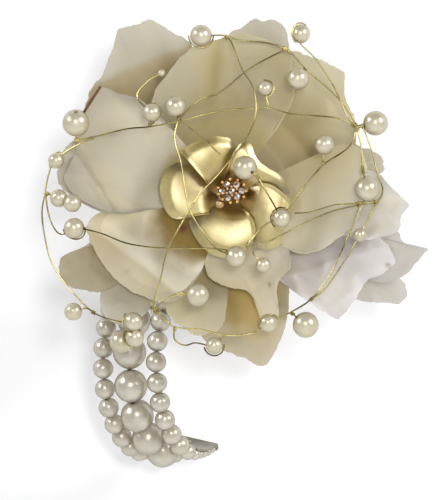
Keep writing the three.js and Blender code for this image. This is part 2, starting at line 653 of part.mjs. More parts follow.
const GARLAND = {
  left: { layer: 0,
    routes: [
      [[-44, 15.5], [-39, 16.4], [-29, 18.7], [-22.5, 19.3], [-14.4, 20.8], [-1.7, 23.9], [7.5, 24.5],
        [11.5, 24.8], [18, 23.1], [31, 21.9], [36.5, 19.5]],
      [[-39, 16.4], [-48.5, 11.3], [-51.5, 7.5], [-53, 0.5], [-54, -6], [-52.5, -16], [-50, -22],
        [-44, -29.5], [-38.5, -34.5], [-31, -36.8], [-27.4, -36.8], [-27, -41.4]],
      [[-53, 0.5], [-51.5, -7.5], [-48.5, -11.5], [-44.5, -9.8], [-37, -11.2], [-29.7, -14], [-22.5, -15.2],
        [-16, -15.5], [-1, -16.1], [2.3, -18]],
      [[-53, 0.5], [-49, -1.1], [-45, -2.6]],
      [[-22.5, 19.3], [-21.9, 23.4]],
      [[11.5, 24.8], [10.6, 30.3]],
      [[-38.5, -34.5], [-41, -33], [-45, -34]],
    ],
    pearls: [[-21.9, 23.4, 5.5], [10.6, 30.3, 4.2], [-49.8, 9.8, 4.6], [-49, -1.1, 5.2], [-45, -2.6, 5.2],
      [-44.5, -9.8, 6], [2.3, -18, 6], [-45, -34, 5.2], [-27.4, -36.8, 5.5], [-27, -41.4, 5.5]] },
  top: { layer: 1,
    routes: [
      [[-7.8, 45.8], [-0.9, 45.8], [3.4, 44.4], [10.6, 43.8], [17, 42]],
      [[-0.9, 45.8], [0.8, 44.1], [4.3, 35.5], [6.9, 31.4], [8, 26.5], [7.8, 22.2], [5.2, 15.9], [2, 11.3],
        [-3.8, 4.6], [-8.1, -0.3], [-12.4, -6.9], [-17.3, -16.1], [-19.6, -24.7], [-21.9, -32.5]],
      [[17, 42], [6.3, 36.3], [-2.3, 29.1], [-8.1, 27.1], [-14.4, 21.3]],
      [[-15, 25.1], [-14.4, 21.3], [-15.3, 15.6], [-13.8, 9.8], [-12.4, 2.6], [-11, -4.6], [-6.6, -11.8],
        [-2.9, -16]],
      [[-14.4, 21.3], [-8.1, 16.4], [-2.3, 11.3]],
    ],
    pearls: [[-7.8, 45.8, 6.3], [-15, 25.1, 6]] },
  right: { layer: 2,
    routes: [
      [[21, 46.4], [20.1, 44.4], [25, 39.2], [29.4, 32.9], [31.7, 28.5], [34.5, 21.9], [37.1, 19.3]],
      [[17.3, 41.5], [22.2, 36.3], [30.8, 28.5], [35, 23.5], [37.1, 19.3]],
      [[37.1, 19.3], [35.1, 14.1], [27.3, 8.4], [23.6, 4.1], [18, -2.6], [15.2, -7]],
      [[15.2, -7], [10.6, 1.2], [8.2, 5.2]],
      [[15.2, -7], [10.6, -8.9], [5, -15]],
      [[37.1, 19.3], [38.3, 14.1], [38.8, 7]],
      [[27.3, 8.4], [27.6, 14.1]],
      [[22.2, 36.3], [20.1, 33.1]],
    ],
    pearls: [[21, 46.4, 5.5], [27.6, 14.1, 5.5], [20.1, 33.1, 6.3], [15.2, -7, 5.2]] },
  bottom: { layer: 1,
    routes: [
      [[38.6, 20.2], [41.5, 12.7], [43.4, 4.6], [44.5, 1.2], [43.2, -2], [38, -2.6]],
      [[38, -2.6], [30.8, -3.1], [23.6, -5.2], [19, -5.6]],
      [[43.2, -2], [30.8, -4.7], [22.2, -8.3], [12.7, -13.2], [7, -16], [10.1, -20.4]],
      [[38, -2.6], [35.7, -9.8], [32.2, -17.5], [29.4, -23.3], [23.6, -30.5], [18, -34], [11.5, -37.1],
        [7.8, -40], [-1, -40.6], [-8, -39.1], [-15.3, -38.3], [-18.5, -36], [-21, -33.4]],
      [[43.2, -2], [38, -11.8], [33.7, -19], [28, -27.3], [23.6, -30.5]],
      [[-15.3, -38.3], [-15.3, -42], [-12.4, -43.7], [-9.5, -43], [-4, -43.7], [-1, -40.6]],
      [[-21, -33.4], [-18.2, -30.2], [-13.4, -28.6]],
    ],
    pearls: [[10.1, -20.4, 4.3], [38, -11.8, 4], [11.5, -37.1, 5.2], [-4, -43.7, 4.9]] },
};

// Large pearls that hang at a twist of wire, each with the wire that carries it and the twist it hangs from
const HANGING_PEARLS = [
  { wire: 'left', from: [-44, 15.5], at: [-43.8, 20.5], size: 7.8, drop: -4.5 },
  { wire: 'right', from: [37.1, 19.3], at: [42.6, 20.5], size: 7.2, drop: 0 },
  { wire: 'right', from: [8.2, 5.2], at: [4.9, 7.5], size: 6.9, drop: 4 },
  { wire: 'right', from: [38.8, 7], at: [40, 1.5], size: 7.2, drop: 1 },
  { wire: 'bottom', from: [-13.4, -28.6], at: [-8.7, -29], size: 6.6, drop: 0 },
  { wire: 'bottom', from: [18, -34], at: [22.4, -37.7], size: 7.5, drop: 0 },
  { wire: 'left', from: [-27, -41.4], at: [-31.2, -42.8], size: 6.9, drop: 5 },
];

// The wires' tail: from the lower left gather, down behind the bloom to the outside of the right-hand tie
const plateAlong = cuffUp.clone().multiplyScalar(-Math.sin(radians(PLATE_ANGLE)))
  .addScaledVector(cuffNear, Math.cos(radians(PLATE_ANGLE)));
const tailRadius = tieMiddle + tieTall / 2 + CLEARANCE + GARLAND_WIRE / 2;
const tailEnd = plateOut.clone().multiplyScalar(tailRadius)
  .addScaledVector(plateAlong, PLATE_LENGTH / 2)
  .addScaledVector(cuffAxis, TIE_OFFSET).sub(bloomSeat);
const gather = onCage(GARLAND.top.routes[1].at(-1), GARLAND.top.layer);
const tailRoute = [
  gather,
  new THREE.Vector3(...TAIL_BEND, gather.z - TAIL_TURN),
  new THREE.Vector3(...TAIL_BEND, gather.z - TAIL_HANG),
  tailEnd,
];

function hangingTail({ from, at, size, drop }, layer) {
  const start = onCage(from, layer);
  const centre = onCage(at, layer, drop);
  const pearlShare = (size / 2 + CLEARANCE) / start.distanceTo(centre);
  return new THREE.LineCurve3(start, centre.clone().lerp(start, pearlShare));
}

for (const [name, { layer, routes, pearls }] of Object.entries(GARLAND)) {
  const wires = routes.map((route) => wire(route.map((point) => onCage(point, layer)), GARLAND_WIRE));
  const tails = HANGING_PEARLS.filter((hanging) => hanging.wire === name)
    .map((hanging) => tube(GARLAND_WIRE, hangingTail(hanging, layer), 1));
  const beads = pearls.map(([x, y, size]) => pearl(size, onCage([x, y], layer)));
  const gathered = name === 'top' ? [wire(tailRoute, GARLAND_WIRE)] : [];
  const garland = joined([...wires, ...tails, ...gathered, ...beads]);
  bloom.add(piece(`garland_wire_${name}`, garland, GOLD_WIRE));
}
HANGING_PEARLS.forEach(({ wire: carrier, at, size, drop }, i) => {
  const centre = onCage(at, GARLAND[carrier].layer, drop);
  const ball = pearl(size, centre, LARGE_PEARL_SIDES, LARGE_PEARL_RINGS);
  bloom.add(piece(`hanging_pearl_${i + 1}`, ball, PEARL_CREAM));
});

const corsage = new THREE.Group();
corsage.add(cuff, stem, bloom);

export default corsage;
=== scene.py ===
# Wrist corsage with a flower brooch: a gold brooch with clear stones in a bloom of cream petals, a cage of
# gold wire and pearls over the bloom, and an open cuff of three pearl strands that carries it on a stem.
import json
import math
import bpy
from mathutils import Matrix, Vector, noise
from mathutils.geometry import interpolate_bezier

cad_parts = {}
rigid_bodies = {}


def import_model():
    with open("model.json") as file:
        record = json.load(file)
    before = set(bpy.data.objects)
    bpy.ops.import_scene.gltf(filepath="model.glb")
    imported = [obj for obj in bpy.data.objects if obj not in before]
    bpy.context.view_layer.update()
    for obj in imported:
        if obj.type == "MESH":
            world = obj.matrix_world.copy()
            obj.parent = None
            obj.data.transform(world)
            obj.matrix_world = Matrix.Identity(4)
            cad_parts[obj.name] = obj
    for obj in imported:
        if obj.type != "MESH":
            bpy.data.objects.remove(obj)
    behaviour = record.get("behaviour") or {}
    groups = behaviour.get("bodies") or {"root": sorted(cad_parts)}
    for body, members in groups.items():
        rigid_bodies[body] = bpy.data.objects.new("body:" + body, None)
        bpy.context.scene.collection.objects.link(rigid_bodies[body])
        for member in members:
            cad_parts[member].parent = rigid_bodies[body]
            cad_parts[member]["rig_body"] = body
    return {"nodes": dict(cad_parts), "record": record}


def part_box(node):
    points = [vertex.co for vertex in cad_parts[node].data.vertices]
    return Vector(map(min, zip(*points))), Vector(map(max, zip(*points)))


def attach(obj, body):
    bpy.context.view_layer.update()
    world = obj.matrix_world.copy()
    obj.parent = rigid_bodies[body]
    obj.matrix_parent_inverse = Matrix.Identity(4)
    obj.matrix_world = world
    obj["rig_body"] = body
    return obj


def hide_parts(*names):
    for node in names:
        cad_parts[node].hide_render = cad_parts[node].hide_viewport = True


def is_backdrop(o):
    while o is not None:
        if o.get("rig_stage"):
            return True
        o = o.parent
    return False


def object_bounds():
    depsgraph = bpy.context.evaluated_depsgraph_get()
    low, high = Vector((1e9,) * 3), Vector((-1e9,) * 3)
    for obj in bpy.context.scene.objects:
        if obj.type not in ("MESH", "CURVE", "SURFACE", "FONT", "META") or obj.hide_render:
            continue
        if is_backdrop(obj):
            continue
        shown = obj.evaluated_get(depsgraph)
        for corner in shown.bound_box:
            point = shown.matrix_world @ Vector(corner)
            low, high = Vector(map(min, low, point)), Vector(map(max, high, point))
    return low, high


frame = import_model()
cad_low, cad_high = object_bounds()
MM = 0.001

# Cuff plate and end bars: strips of nickel-plated brass, sawn to length, with tumbled edges.
# The spring wires of the three strands are soldered into them. The near bar is shaped with the strands.


def paint(red, green, blue):
    """A colour in the 0 to 255 steps of a screen, as the linear values that a socket takes."""
    steps = [value / 255 for value in (red, green, blue)]
    return (*[step / 12.92 if step < 0.04 else ((step + 0.055) / 1.055) ** 2.4 for step in steps], 1)


def add_node(tree, kind, inputs=(), **settings):
    """A new node. Each input takes a value, or a link where the value is another node's socket."""
    node = tree.nodes.new(kind)
    for name, value in settings.items():
        setattr(node, name, value)
    for name, value in dict(inputs).items():
        if isinstance(value, bpy.types.NodeSocket):
            tree.links.new(value, node.inputs[name])
        else:
            node.inputs[name].default_value = value
    return node


def ramp(tree, value, start, end, low=0, high=1, smooth=False):
    """A value that goes from low to high while another goes from start to end."""
    inputs = {"Value": value, "From Min": start, "From Max": end, "To Min": low, "To Max": high}
    kind = "SMOOTHSTEP" if smooth else "LINEAR"
    return add_node(tree, "ShaderNodeMapRange", inputs, interpolation_type=kind).outputs["Result"]


def mixed(tree, share, first, second):
    """A colour between two others."""
    inputs = {"Factor": share, "A": first, "B": second}
    return add_node(tree, "ShaderNodeMix", inputs, data_type="RGBA").outputs["Result"]


def clouded(tree, place, scale, detail, roughness=0.5):
    """A value that wanders over the surface, in soft spots."""
    inputs = {"Vector": place, "Scale": scale, "Detail": detail, "Roughness": roughness}
    return add_node(tree, "ShaderNodeTexNoise", inputs).outputs["Fac"]


def new_group(name, inputs, outputs):
    """An empty node group with those sockets, and its input and output nodes."""
    tree = bpy.data.node_groups.new(name, "ShaderNodeTree")
    for way, sockets in (("INPUT", inputs), ("OUTPUT", outputs)):
        for socket, kind in sockets.items():
            tree.interface.new_socket(socket, in_out=way, socket_type="NodeSocket" + kind)
    return tree, tree.nodes.new("NodeGroupInput").outputs, tree.nodes.new("NodeGroupOutput").inputs


mottle, taken, given = new_group(
    "mottle", {"Light": "Color", "Dark": "Color", "Scale": "Float"}, {"Color": "Color"}
)
place = add_node(mottle, "ShaderNodeTexCoord").outputs["Object"]
spread = ramp(mottle, clouded(mottle, place, taken["Scale"], detail=4, roughness=0.6), 0.34, 0.66)
mottle.links.new(mixed(mottle, spread, taken["Dark"], taken["Light"]), given["Color"])

grain, taken, given = new_group("grain", {"Scale": "Float", "Depth": "Float"}, {"Normal": "Vector"})
place = add_node(grain, "ShaderNodeTexCoord").outputs["Object"]
pits = clouded(grain, place, taken["Scale"], detail=3, roughness=0.55)
pressed = add_node(grain, "ShaderNodeBump", {"Height": pits, "Strength": 1, "Distance": taken["Depth"]})
grain.links.new(pressed.outputs["Normal"], given["Normal"])


def new_finish(name, sockets=()):
    """An empty material, its node tree and its main shader with those sockets set."""
    material = bpy.data.materials.new(name)
    material.use_nodes = True
    shader = material.node_tree.nodes["Principled BSDF"]
    for socket, value in dict(sockets).items():
        shader.inputs[socket].default_value = value
    return material, material.node_tree, shader


def plain_finish(name, light, dark, patch, pit, depth, sockets):
    """A finish that wanders between two shades, with fine pits. Patches and pits are given per metre."""
    material, tree, shader = new_finish(name, sockets)
    shade = add_node(
        tree, "ShaderNodeGroup", {"Light": light, "Dark": dark, "Scale": patch}, node_tree=mottle
    )
    surface = add_node(tree, "ShaderNodeGroup", {"Scale": pit, "Depth": depth}, node_tree=grain)
    tree.links.new(shade.outputs["Color"], shader.inputs["Base Color"])
    tree.links.new(surface.outputs["Normal"], shader.inputs["Normal"])
    return material


def placed(name, data):
    """A new piece in the scene, with its place in its mesh."""
    piece = bpy.data.objects.new(name, data)
    bpy.context.collection.objects.link(piece)
    return piece


def pick(pieces):
    """Selects these pieces alone, with the first one active."""
    bpy.ops.object.select_all(action="DESELECT")
    for piece in pieces:
        piece.select_set(True)
    bpy.context.view_layer.objects.active = pieces[0]


def applied(piece, name, kind, **settings):
    """Finishes the active piece with a modifier."""
    modifier = piece.modifiers.new(name, kind)
    for setting, value in settings.items():
        setattr(modifier, setting, value)
    bpy.ops.object.modifier_apply(modifier=modifier.name)


MERGED = 0.01 * MM
FLAT_ANGLE = math.radians(1)
EDGE_ANGLE = math.radians(31)
SMOOTH_ANGLE = math.radians(40)


def rounded_copy(node, edge, segments=3):
    """A CAD node's shape with its triangles merged into faces and its edges rounded."""
    piece = placed(node + "_fine", frame["nodes"][node].data.copy())
    pick([piece])
    bpy.ops.object.mode_set(mode="EDIT")
    bpy.ops.mesh.select_all(action="SELECT")
    bpy.ops.mesh.remove_doubles(threshold=MERGED)
    bpy.ops.mesh.dissolve_limited(angle_limit=FLAT_ANGLE)
    bpy.ops.object.mode_set(mode="OBJECT")
    applied(piece, "Rounded edges", "BEVEL", width=edge, segments=segments, angle_limit=EDGE_ANGLE)
    bpy.ops.object.shade_smooth_by_angle(angle=SMOOTH_ANGLE)
    return piece


def settle(piece, finishes, node, stands_for=True):
    """Gives a piece its finishes and fixes it to the body of a CAD node, in whose place it shows."""
    if list(piece.data.materials) != finishes:
        piece.data.materials.clear()
        for finish in finishes:
            piece.data.materials.append(finish)
    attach(piece, frame["nodes"][node]["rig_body"])
    if stands_for:
        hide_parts(node)


nickel = plain_finish(
    "nickel plate", paint(152, 146, 130), paint(100, 92, 74), patch=90, pit=2600, depth=0.03 * MM,
    sockets={"Metallic": 1, "Roughness": 0.34},
)
TUMBLED = 0.35 * MM
for node in ("cuff_plate", "far_end_bar"):
    settle(rounded_copy(node, TUMBLED), [nickel], node)

# Pearl strands: round glass pearls with a nacre coat, drilled and threaded on spring wire that is bent into
# arcs. Small pearls run in the side rows and large ones in the middle row. Towards the near end they get
# smaller, and that end is cut off at a slant and backed by a thin metal tongue.
HOLE_RIM = 0.98
HOLE_DEPTH = 0.3
PEARL_UNEVEN = 0.012
POLISHED_ANGLE = math.radians(50)
bpy.ops.mesh.primitive_uv_sphere_add(segments=32, ring_count=20, radius=1)
pearl_model = bpy.context.object
for pole in (1, -1):
    bpy.ops.object.mode_set(mode="EDIT")
    bpy.ops.mesh.select_mode(type="FACE")
    bpy.ops.mesh.select_all(action="DESELECT")
    bpy.ops.object.mode_set(mode="OBJECT")
    for face in pearl_model.data.polygons:
        face.select = face.center.z * pole > HOLE_RIM
    bpy.ops.object.mode_set(mode="EDIT")
    bpy.ops.mesh.extrude_region_move(TRANSFORM_OT_translate={"value": (0, 0, -HOLE_DEPTH * pole)})
    bpy.ops.object.mode_set(mode="OBJECT")
bpy.ops.object.shade_smooth_by_angle(angle=POLISHED_ANGLE)
pearl_mesh = pearl_model.data.copy()
bpy.data.objects.remove(pearl_model)
# A fixed start for the noise, so that the unevenness is the same at each run.
noise.seed_set(1)


def pearl(diameter, centre, along):
    """A drilled pearl with its hole along a direction. No two are turned or sized quite the same."""
    uneven = noise.noise_vector(centre * 700)
    size = (Vector((1, 1, 1)) + PEARL_UNEVEN * uneven) * diameter / 2
    turn = along.to_track_quat("Z", "Y").to_matrix().to_4x4() @ Matrix.Rotation(6 * uneven.x, 4, "Z")
    mesh = pearl_mesh.copy()
    mesh.transform(Matrix.Translation(centre) @ turn @ Matrix.Diagonal((*size, 1)))
    return placed("pearl", mesh)


def wires(runs, diameter):
    """Round wires through the points of each run, as one mesh."""
    curve = bpy.data.curves.new("wires", "CURVE")
    curve.dimensions = "3D"
    curve.bevel_depth = diameter / 2
    curve.bevel_resolution = 2
    curve.use_fill_caps = True
    for run in runs:
        spline = curve.splines.new("POLY")
        spline.points.add(len(run) - 1)
        for point, stop in zip(spline.points, run):
            point.co = (*stop, 1)
    pick([placed("wires", curve)])
    bpy.ops.object.convert(target="MESH")
    bpy.ops.object.shade_smooth()
    return bpy.context.object


def joined(name, pieces):
    """The pieces as one object."""
    pick(pieces)
    bpy.ops.object.join()
    pieces[0].name = name
    return pieces[0]


def nacre(name, light, dark, rim, lustre):
    """Pearl coat: a soft body colour with a metal-like lustre, and painted shade that darkens it where the
    coat is seen edge on.
    """
    material = plain_finish(
        name, light, dark, patch=260, pit=900, depth=0.03 * MM,
        sockets={"Metallic": lustre, "Roughness": 0.32, "IOR": 1.5, "Specular Tint": rim, "Coat Weight": 0.5,
                 "Coat Roughness": 0.22, "Subsurface Weight": 0.1, "Subsurface Radius": (1, 0.8, 0.6),
                 "Subsurface Scale": 1.2 * MM},
    )
    tree = material.node_tree
    shader = tree.nodes["Principled BSDF"]
    body = shader.inputs["Base Color"].links[0].from_socket
    # Painted shade: the base colour darkens towards the rim colour where the pearl is seen edge on.
    facing = add_node(tree, "ShaderNodeLayerWeight", {"Blend": 0.35}).outputs["Facing"]
    edge = ramp(tree, facing, 0.15, 0.9, high=0.85)
    tree.links.new(mixed(tree, edge, body, rim), shader.inputs["Base Color"])
    return material


# The third colour of each pearl coat is its painted rim shade.
cuff_nacre = nacre("cuff pearl coat", paint(218, 212, 197), paint(202, 195, 179), paint(138, 130, 110), 0.55)
spring_steel = plain_finish(
    "spring wire", paint(168, 158, 132), paint(110, 98, 72), patch=200, pit=3000, depth=0.02 * MM,
    sockets={"Metallic": 1, "Roughness": 0.3},
)
CUFF_RADIUS = 29 * MM
LARGE_PEARL = 10.1 * MM
SMALL_PEARL = 6.2 * MM
PEARL_GAP = 0.1 * MM
ROW_SPACING = 9.125 * MM
SPRING_WIRE = 1.2 * MM
SPRING_STEPS = 80
PLATE_ANGLE = math.radians(36)
PLATE_HALF = 4 * MM / CUFF_RADIUS
GRADUATED = {"near": 24 * MM, "far": 1 * MM}
SMALLEST_PEARL = 0.42
SPACER_PEARL = 2.2 * MM
LEAD_PEARL = 0.8
LEAD_PLACE = 0.45
TONGUE_SWEEP = 0.5
TONGUE_DEPTH = 1.5 * MM
TONGUE_HALF = ROW_SPACING + 2 * MM
TONGUE_SHEET = 0.6 * MM
ARM_ENDS = {"near": math.radians(203), "far": math.radians(-58)}
ARM_SLANTS = {"near": math.radians(5.5), "far": 0}
ROWS = {"right": (ROW_SPACING, 1 * MM), "centre": (0, 5 * MM), "left": (-ROW_SPACING, 3.3 * MM)}
cuff_axis = Vector(frame["record"]["mounts"][0]["axis"]).normalized()
cuff_up = Vector((0, 1, 0))
cuff_near = cuff_axis.cross(cuff_up)


def on_cuff(angle, row):
    """A point of the cuff's middle line. The angle grows from the top towards the viewer."""
    return CUFF_RADIUS * (cuff_up * math.cos(angle) + cuff_near * math.sin(angle)) + row * cuff_axis


def arm_end(arm, row):
    """The angle at which a row ends. The near arm is cut off at a slant."""
    return ARM_ENDS[arm] - ARM_SLANTS[arm] * row / ROW_SPACING


for arm in ARM_ENDS:
    way = 1 if arm == "near" else -1
    start = PLATE_ANGLE + way * PLATE_HALF
    for row_name, (row, lead) in ROWS.items():
        end = arm_end(arm, row)
        size = LARGE_PEARL if row_name == "centre" else SMALL_PEARL
        room = abs(end - start) * CUFF_RADIUS - lead
        places = []
        if lead > SPACER_PEARL:
            places.append((room + LEAD_PLACE * lead, LEAD_PEARL * lead))
        while room > SPACER_PEARL:
            diameter = min(size * min(1, max(SMALLEST_PEARL, room / GRADUATED[arm])), room)
            places.append((room - diameter / 2, diameter))
            room -= diameter + PEARL_GAP
        beads = []
        for from_end, diameter in places:
            angle = end - way * from_end / CUFF_RADIUS
            ahead = on_cuff(angle + 0.01, row) - on_cuff(angle, row)
            bead = pearl(diameter, on_cuff(angle, row), ahead)
            bead.data.materials.append(cuff_nacre)
            beads.append(bead)
        steps = [start + (end - start) * i / SPRING_STEPS for i in range(SPRING_STEPS + 1)]
        spring = wires([[on_cuff(angle, row) for angle in steps]], SPRING_WIRE)
        spring.data.materials.append(spring_steel)
        strand = joined(f"{arm}_pearls_{row_name}", [*beads, spring])
        settle(strand, [cuff_nacre, spring_steel], f"{arm}_strand_{row_name}")

bpy.ops.mesh.primitive_grid_add(x_subdivisions=12, y_subdivisions=16, size=2)
tongue = bpy.context.object
for vertex in tongue.data.vertices:
    row = TONGUE_HALF * vertex.co.x
    back = (1 - vertex.co.y) / 2 * TONGUE_SWEEP
    middle = on_cuff(arm_end("near", row) - back, 0)
    vertex.co = middle * (1 - TONGUE_DEPTH / CUFF_RADIUS) + row * cuff_axis
applied(tongue, "Thickness", "SOLIDIFY", thickness=TONGUE_SHEET)
near_bar = rounded_copy("near_end_bar", TUMBLED)
for vertex in near_bar.data.vertices:
    slant = arm_end("near", vertex.co.dot(cuff_axis)) - ARM_ENDS["near"]
    vertex.co = Matrix.Rotation(slant, 3, cuff_axis) @ vertex.co
settle(joined("near_end_bar_fine", [near_bar, tongue]), [nickel], "near_end_bar")

# Stem: florist's wire wound with green crepe tape that overlaps itself in a spiral. It comes out of the
# felt behind the bloom and lies along the cuff plate.
base_low, base_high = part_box("brooch_base")
seat = Vector(((base_low.x + base_high.x) / 2, (base_low.y + base_high.y) / 2, base_low.z))
STEM = 4 * MM
STEM_SIDES = 28
STEM_STEPS = 150
TAPE_TURNS = 17
TAPE_STEP = 0.09
STEM_OFF_CUFF = 3.8 * MM
STEM_OFF_FELT = 0.3 * MM
STEM_BEND = 17 * MM
STEM_LEAN = 0.25
STEM_ON_PLATE = (13 * MM, 6.5 * MM, -9 * MM)
SPAN_POINTS = 16
plate_out = cuff_up * math.cos(PLATE_ANGLE) + cuff_near * math.sin(PLATE_ANGLE)
stem_middle = plate_out * (CUFF_RADIUS + STEM_OFF_CUFF)
stem_top = Vector((seat.x, seat.y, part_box("felt_backing")[0].z - STEM_OFF_FELT))
stem_down = stem_top - Vector((0, 0, STEM))
stem_turn = (stem_middle + cuff_axis * STEM_BEND).lerp(stem_down, STEM_LEAN)
stem_stops = [stem_top, stem_down, stem_turn]
stem_stops += [stem_middle + cuff_axis * along for along in STEM_ON_PLATE]


def smooth_line(stops, count):
    """Points evenly spaced along a smooth line through the stops."""
    ends = [2 * stops[0] - stops[1], *stops, 2 * stops[-1] - stops[-2]]
    fine = []
    for before, start, end, after in zip(ends, ends[1:], ends[2:], ends[3:]):
        third = (end - start).length / 3
        leaving = start + (end - before).normalized() * third
        arriving = end - (after - start).normalized() * third
        fine += interpolate_bezier(start, leaving, arriving, end, SPAN_POINTS)[:-1]
    fine.append(stops[-1])
    travelled = [0]
    for start, end in zip(fine, fine[1:]):
        travelled.append(travelled[-1] + (end - start).length)
    line = []
    span = 0
    for i in range(count + 1):
        goal = travelled[-1] * i / count
        while span < len(fine) - 2 and travelled[span + 1] < goal:
            span += 1
        share = (goal - travelled[span]) / (travelled[span + 1] - travelled[span])
        line.append(fine[span].lerp(fine[span + 1], share))
    return line


line = smooth_line(stem_stops, STEM_STEPS)
corners = []
side_way = cuff_up.copy()
for i, point in enumerate(line):
    ahead = (line[min(i + 1, STEM_STEPS)] - line[max(i - 1, 0)]).normalized()
    side_way = (side_way - ahead * side_way.dot(ahead)).normalized()
    for j in range(STEM_SIDES):
        turn = j / STEM_SIDES
        overlap = (TAPE_TURNS * i / STEM_STEPS - turn) % 1
        radius = STEM / 2 * (1 - TAPE_STEP * overlap)
        spoke = Matrix.Rotation(2 * math.pi * turn, 3, ahead) @ side_way
        corners.append(point + radius * spoke)
faces = []
for i in range(STEM_STEPS):
    for j in range(STEM_SIDES):
        beside = (j + 1) % STEM_SIDES
        ring = i * STEM_SIDES
        faces.append((ring + j, ring + beside, ring + STEM_SIDES + beside, ring + STEM_SIDES + j))
faces.append(tuple(reversed(range(STEM_SIDES))))
faces.append(tuple(range(STEM_STEPS * STEM_SIDES, (STEM_STEPS + 1) * STEM_SIDES)))
stem_mesh = bpy.data.meshes.new("taped_stem_fine")
stem_mesh.from_pydata(corners, [], faces)
stem = placed("taped_stem_fine", stem_mesh)
crepe_tape = plain_finish(
    "crepe tape", paint(150, 158, 118), paint(118, 126, 86), patch=400, pit=2400, depth=0.2 * MM,
    sockets={"Roughness": 0.75},
)
settle(stem, [crepe_tape], "taped_stem")

# Ties: two lengths of woven cream ribbon, each pulled tight round the stem and the cuff plate and glued
# down. They hold the bloom to the cuff.
ribbon = plain_finish(
    "tie ribbon", paint(224, 216, 192), paint(206, 196, 168), patch=500, pit=5000, depth=0.15 * MM,
    sockets={"Roughness": 0.6, "Sheen Weight": 0.3},
)
for node in ("stem_tie_right", "stem_tie_left"):
    settle(rounded_copy(node, edge=0.3 * MM), [ribbon], node)

# Hub and backing: a ring of white florist's foam that the petals are glued to, and a felt disc that closes
# its back.
foam = plain_finish(
    "hub foam", paint(222, 216, 196), paint(200, 192, 166), patch=700, pit=1800, depth=0.4 * MM,
    sockets={"Roughness": 0.9},
)
settle(rounded_copy("bloom_hub", edge=0.4 * MM), [foam], "bloom_hub")
felt = plain_finish(
    "felt", paint(232, 226, 208), paint(214, 206, 184), patch=900, pit=3500, depth=0.4 * MM,
    sockets={"Roughness": 0.95, "Sheen Weight": 0.5},
)
settle(rounded_copy("felt_backing", edge=0.5 * MM), [felt], "felt_backing")

# Petals: thin cream petals with an olive foot, glued to the side and the top of the hub in five layers.
# Each is cupped, creased and curled a little differently, and they let a little light through.
# Their olive foot is deepened with painted shade, and lines of painted shade darken parts of some petals.
PETAL_ROWS = 44
PETAL_COLUMNS = 72
PETAL_THICKNESS = 0.3 * MM
hub_low, hub_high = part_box("bloom_hub")
PETAL_GLUE = 0.3
PETAL_UNDER_TOP = 1.1
petal_foot = (hub_high.x - hub_low.x) / 2 / MM + PETAL_GLUE
petal_top = (hub_high.z - seat.z) / MM - PETAL_UNDER_TOP
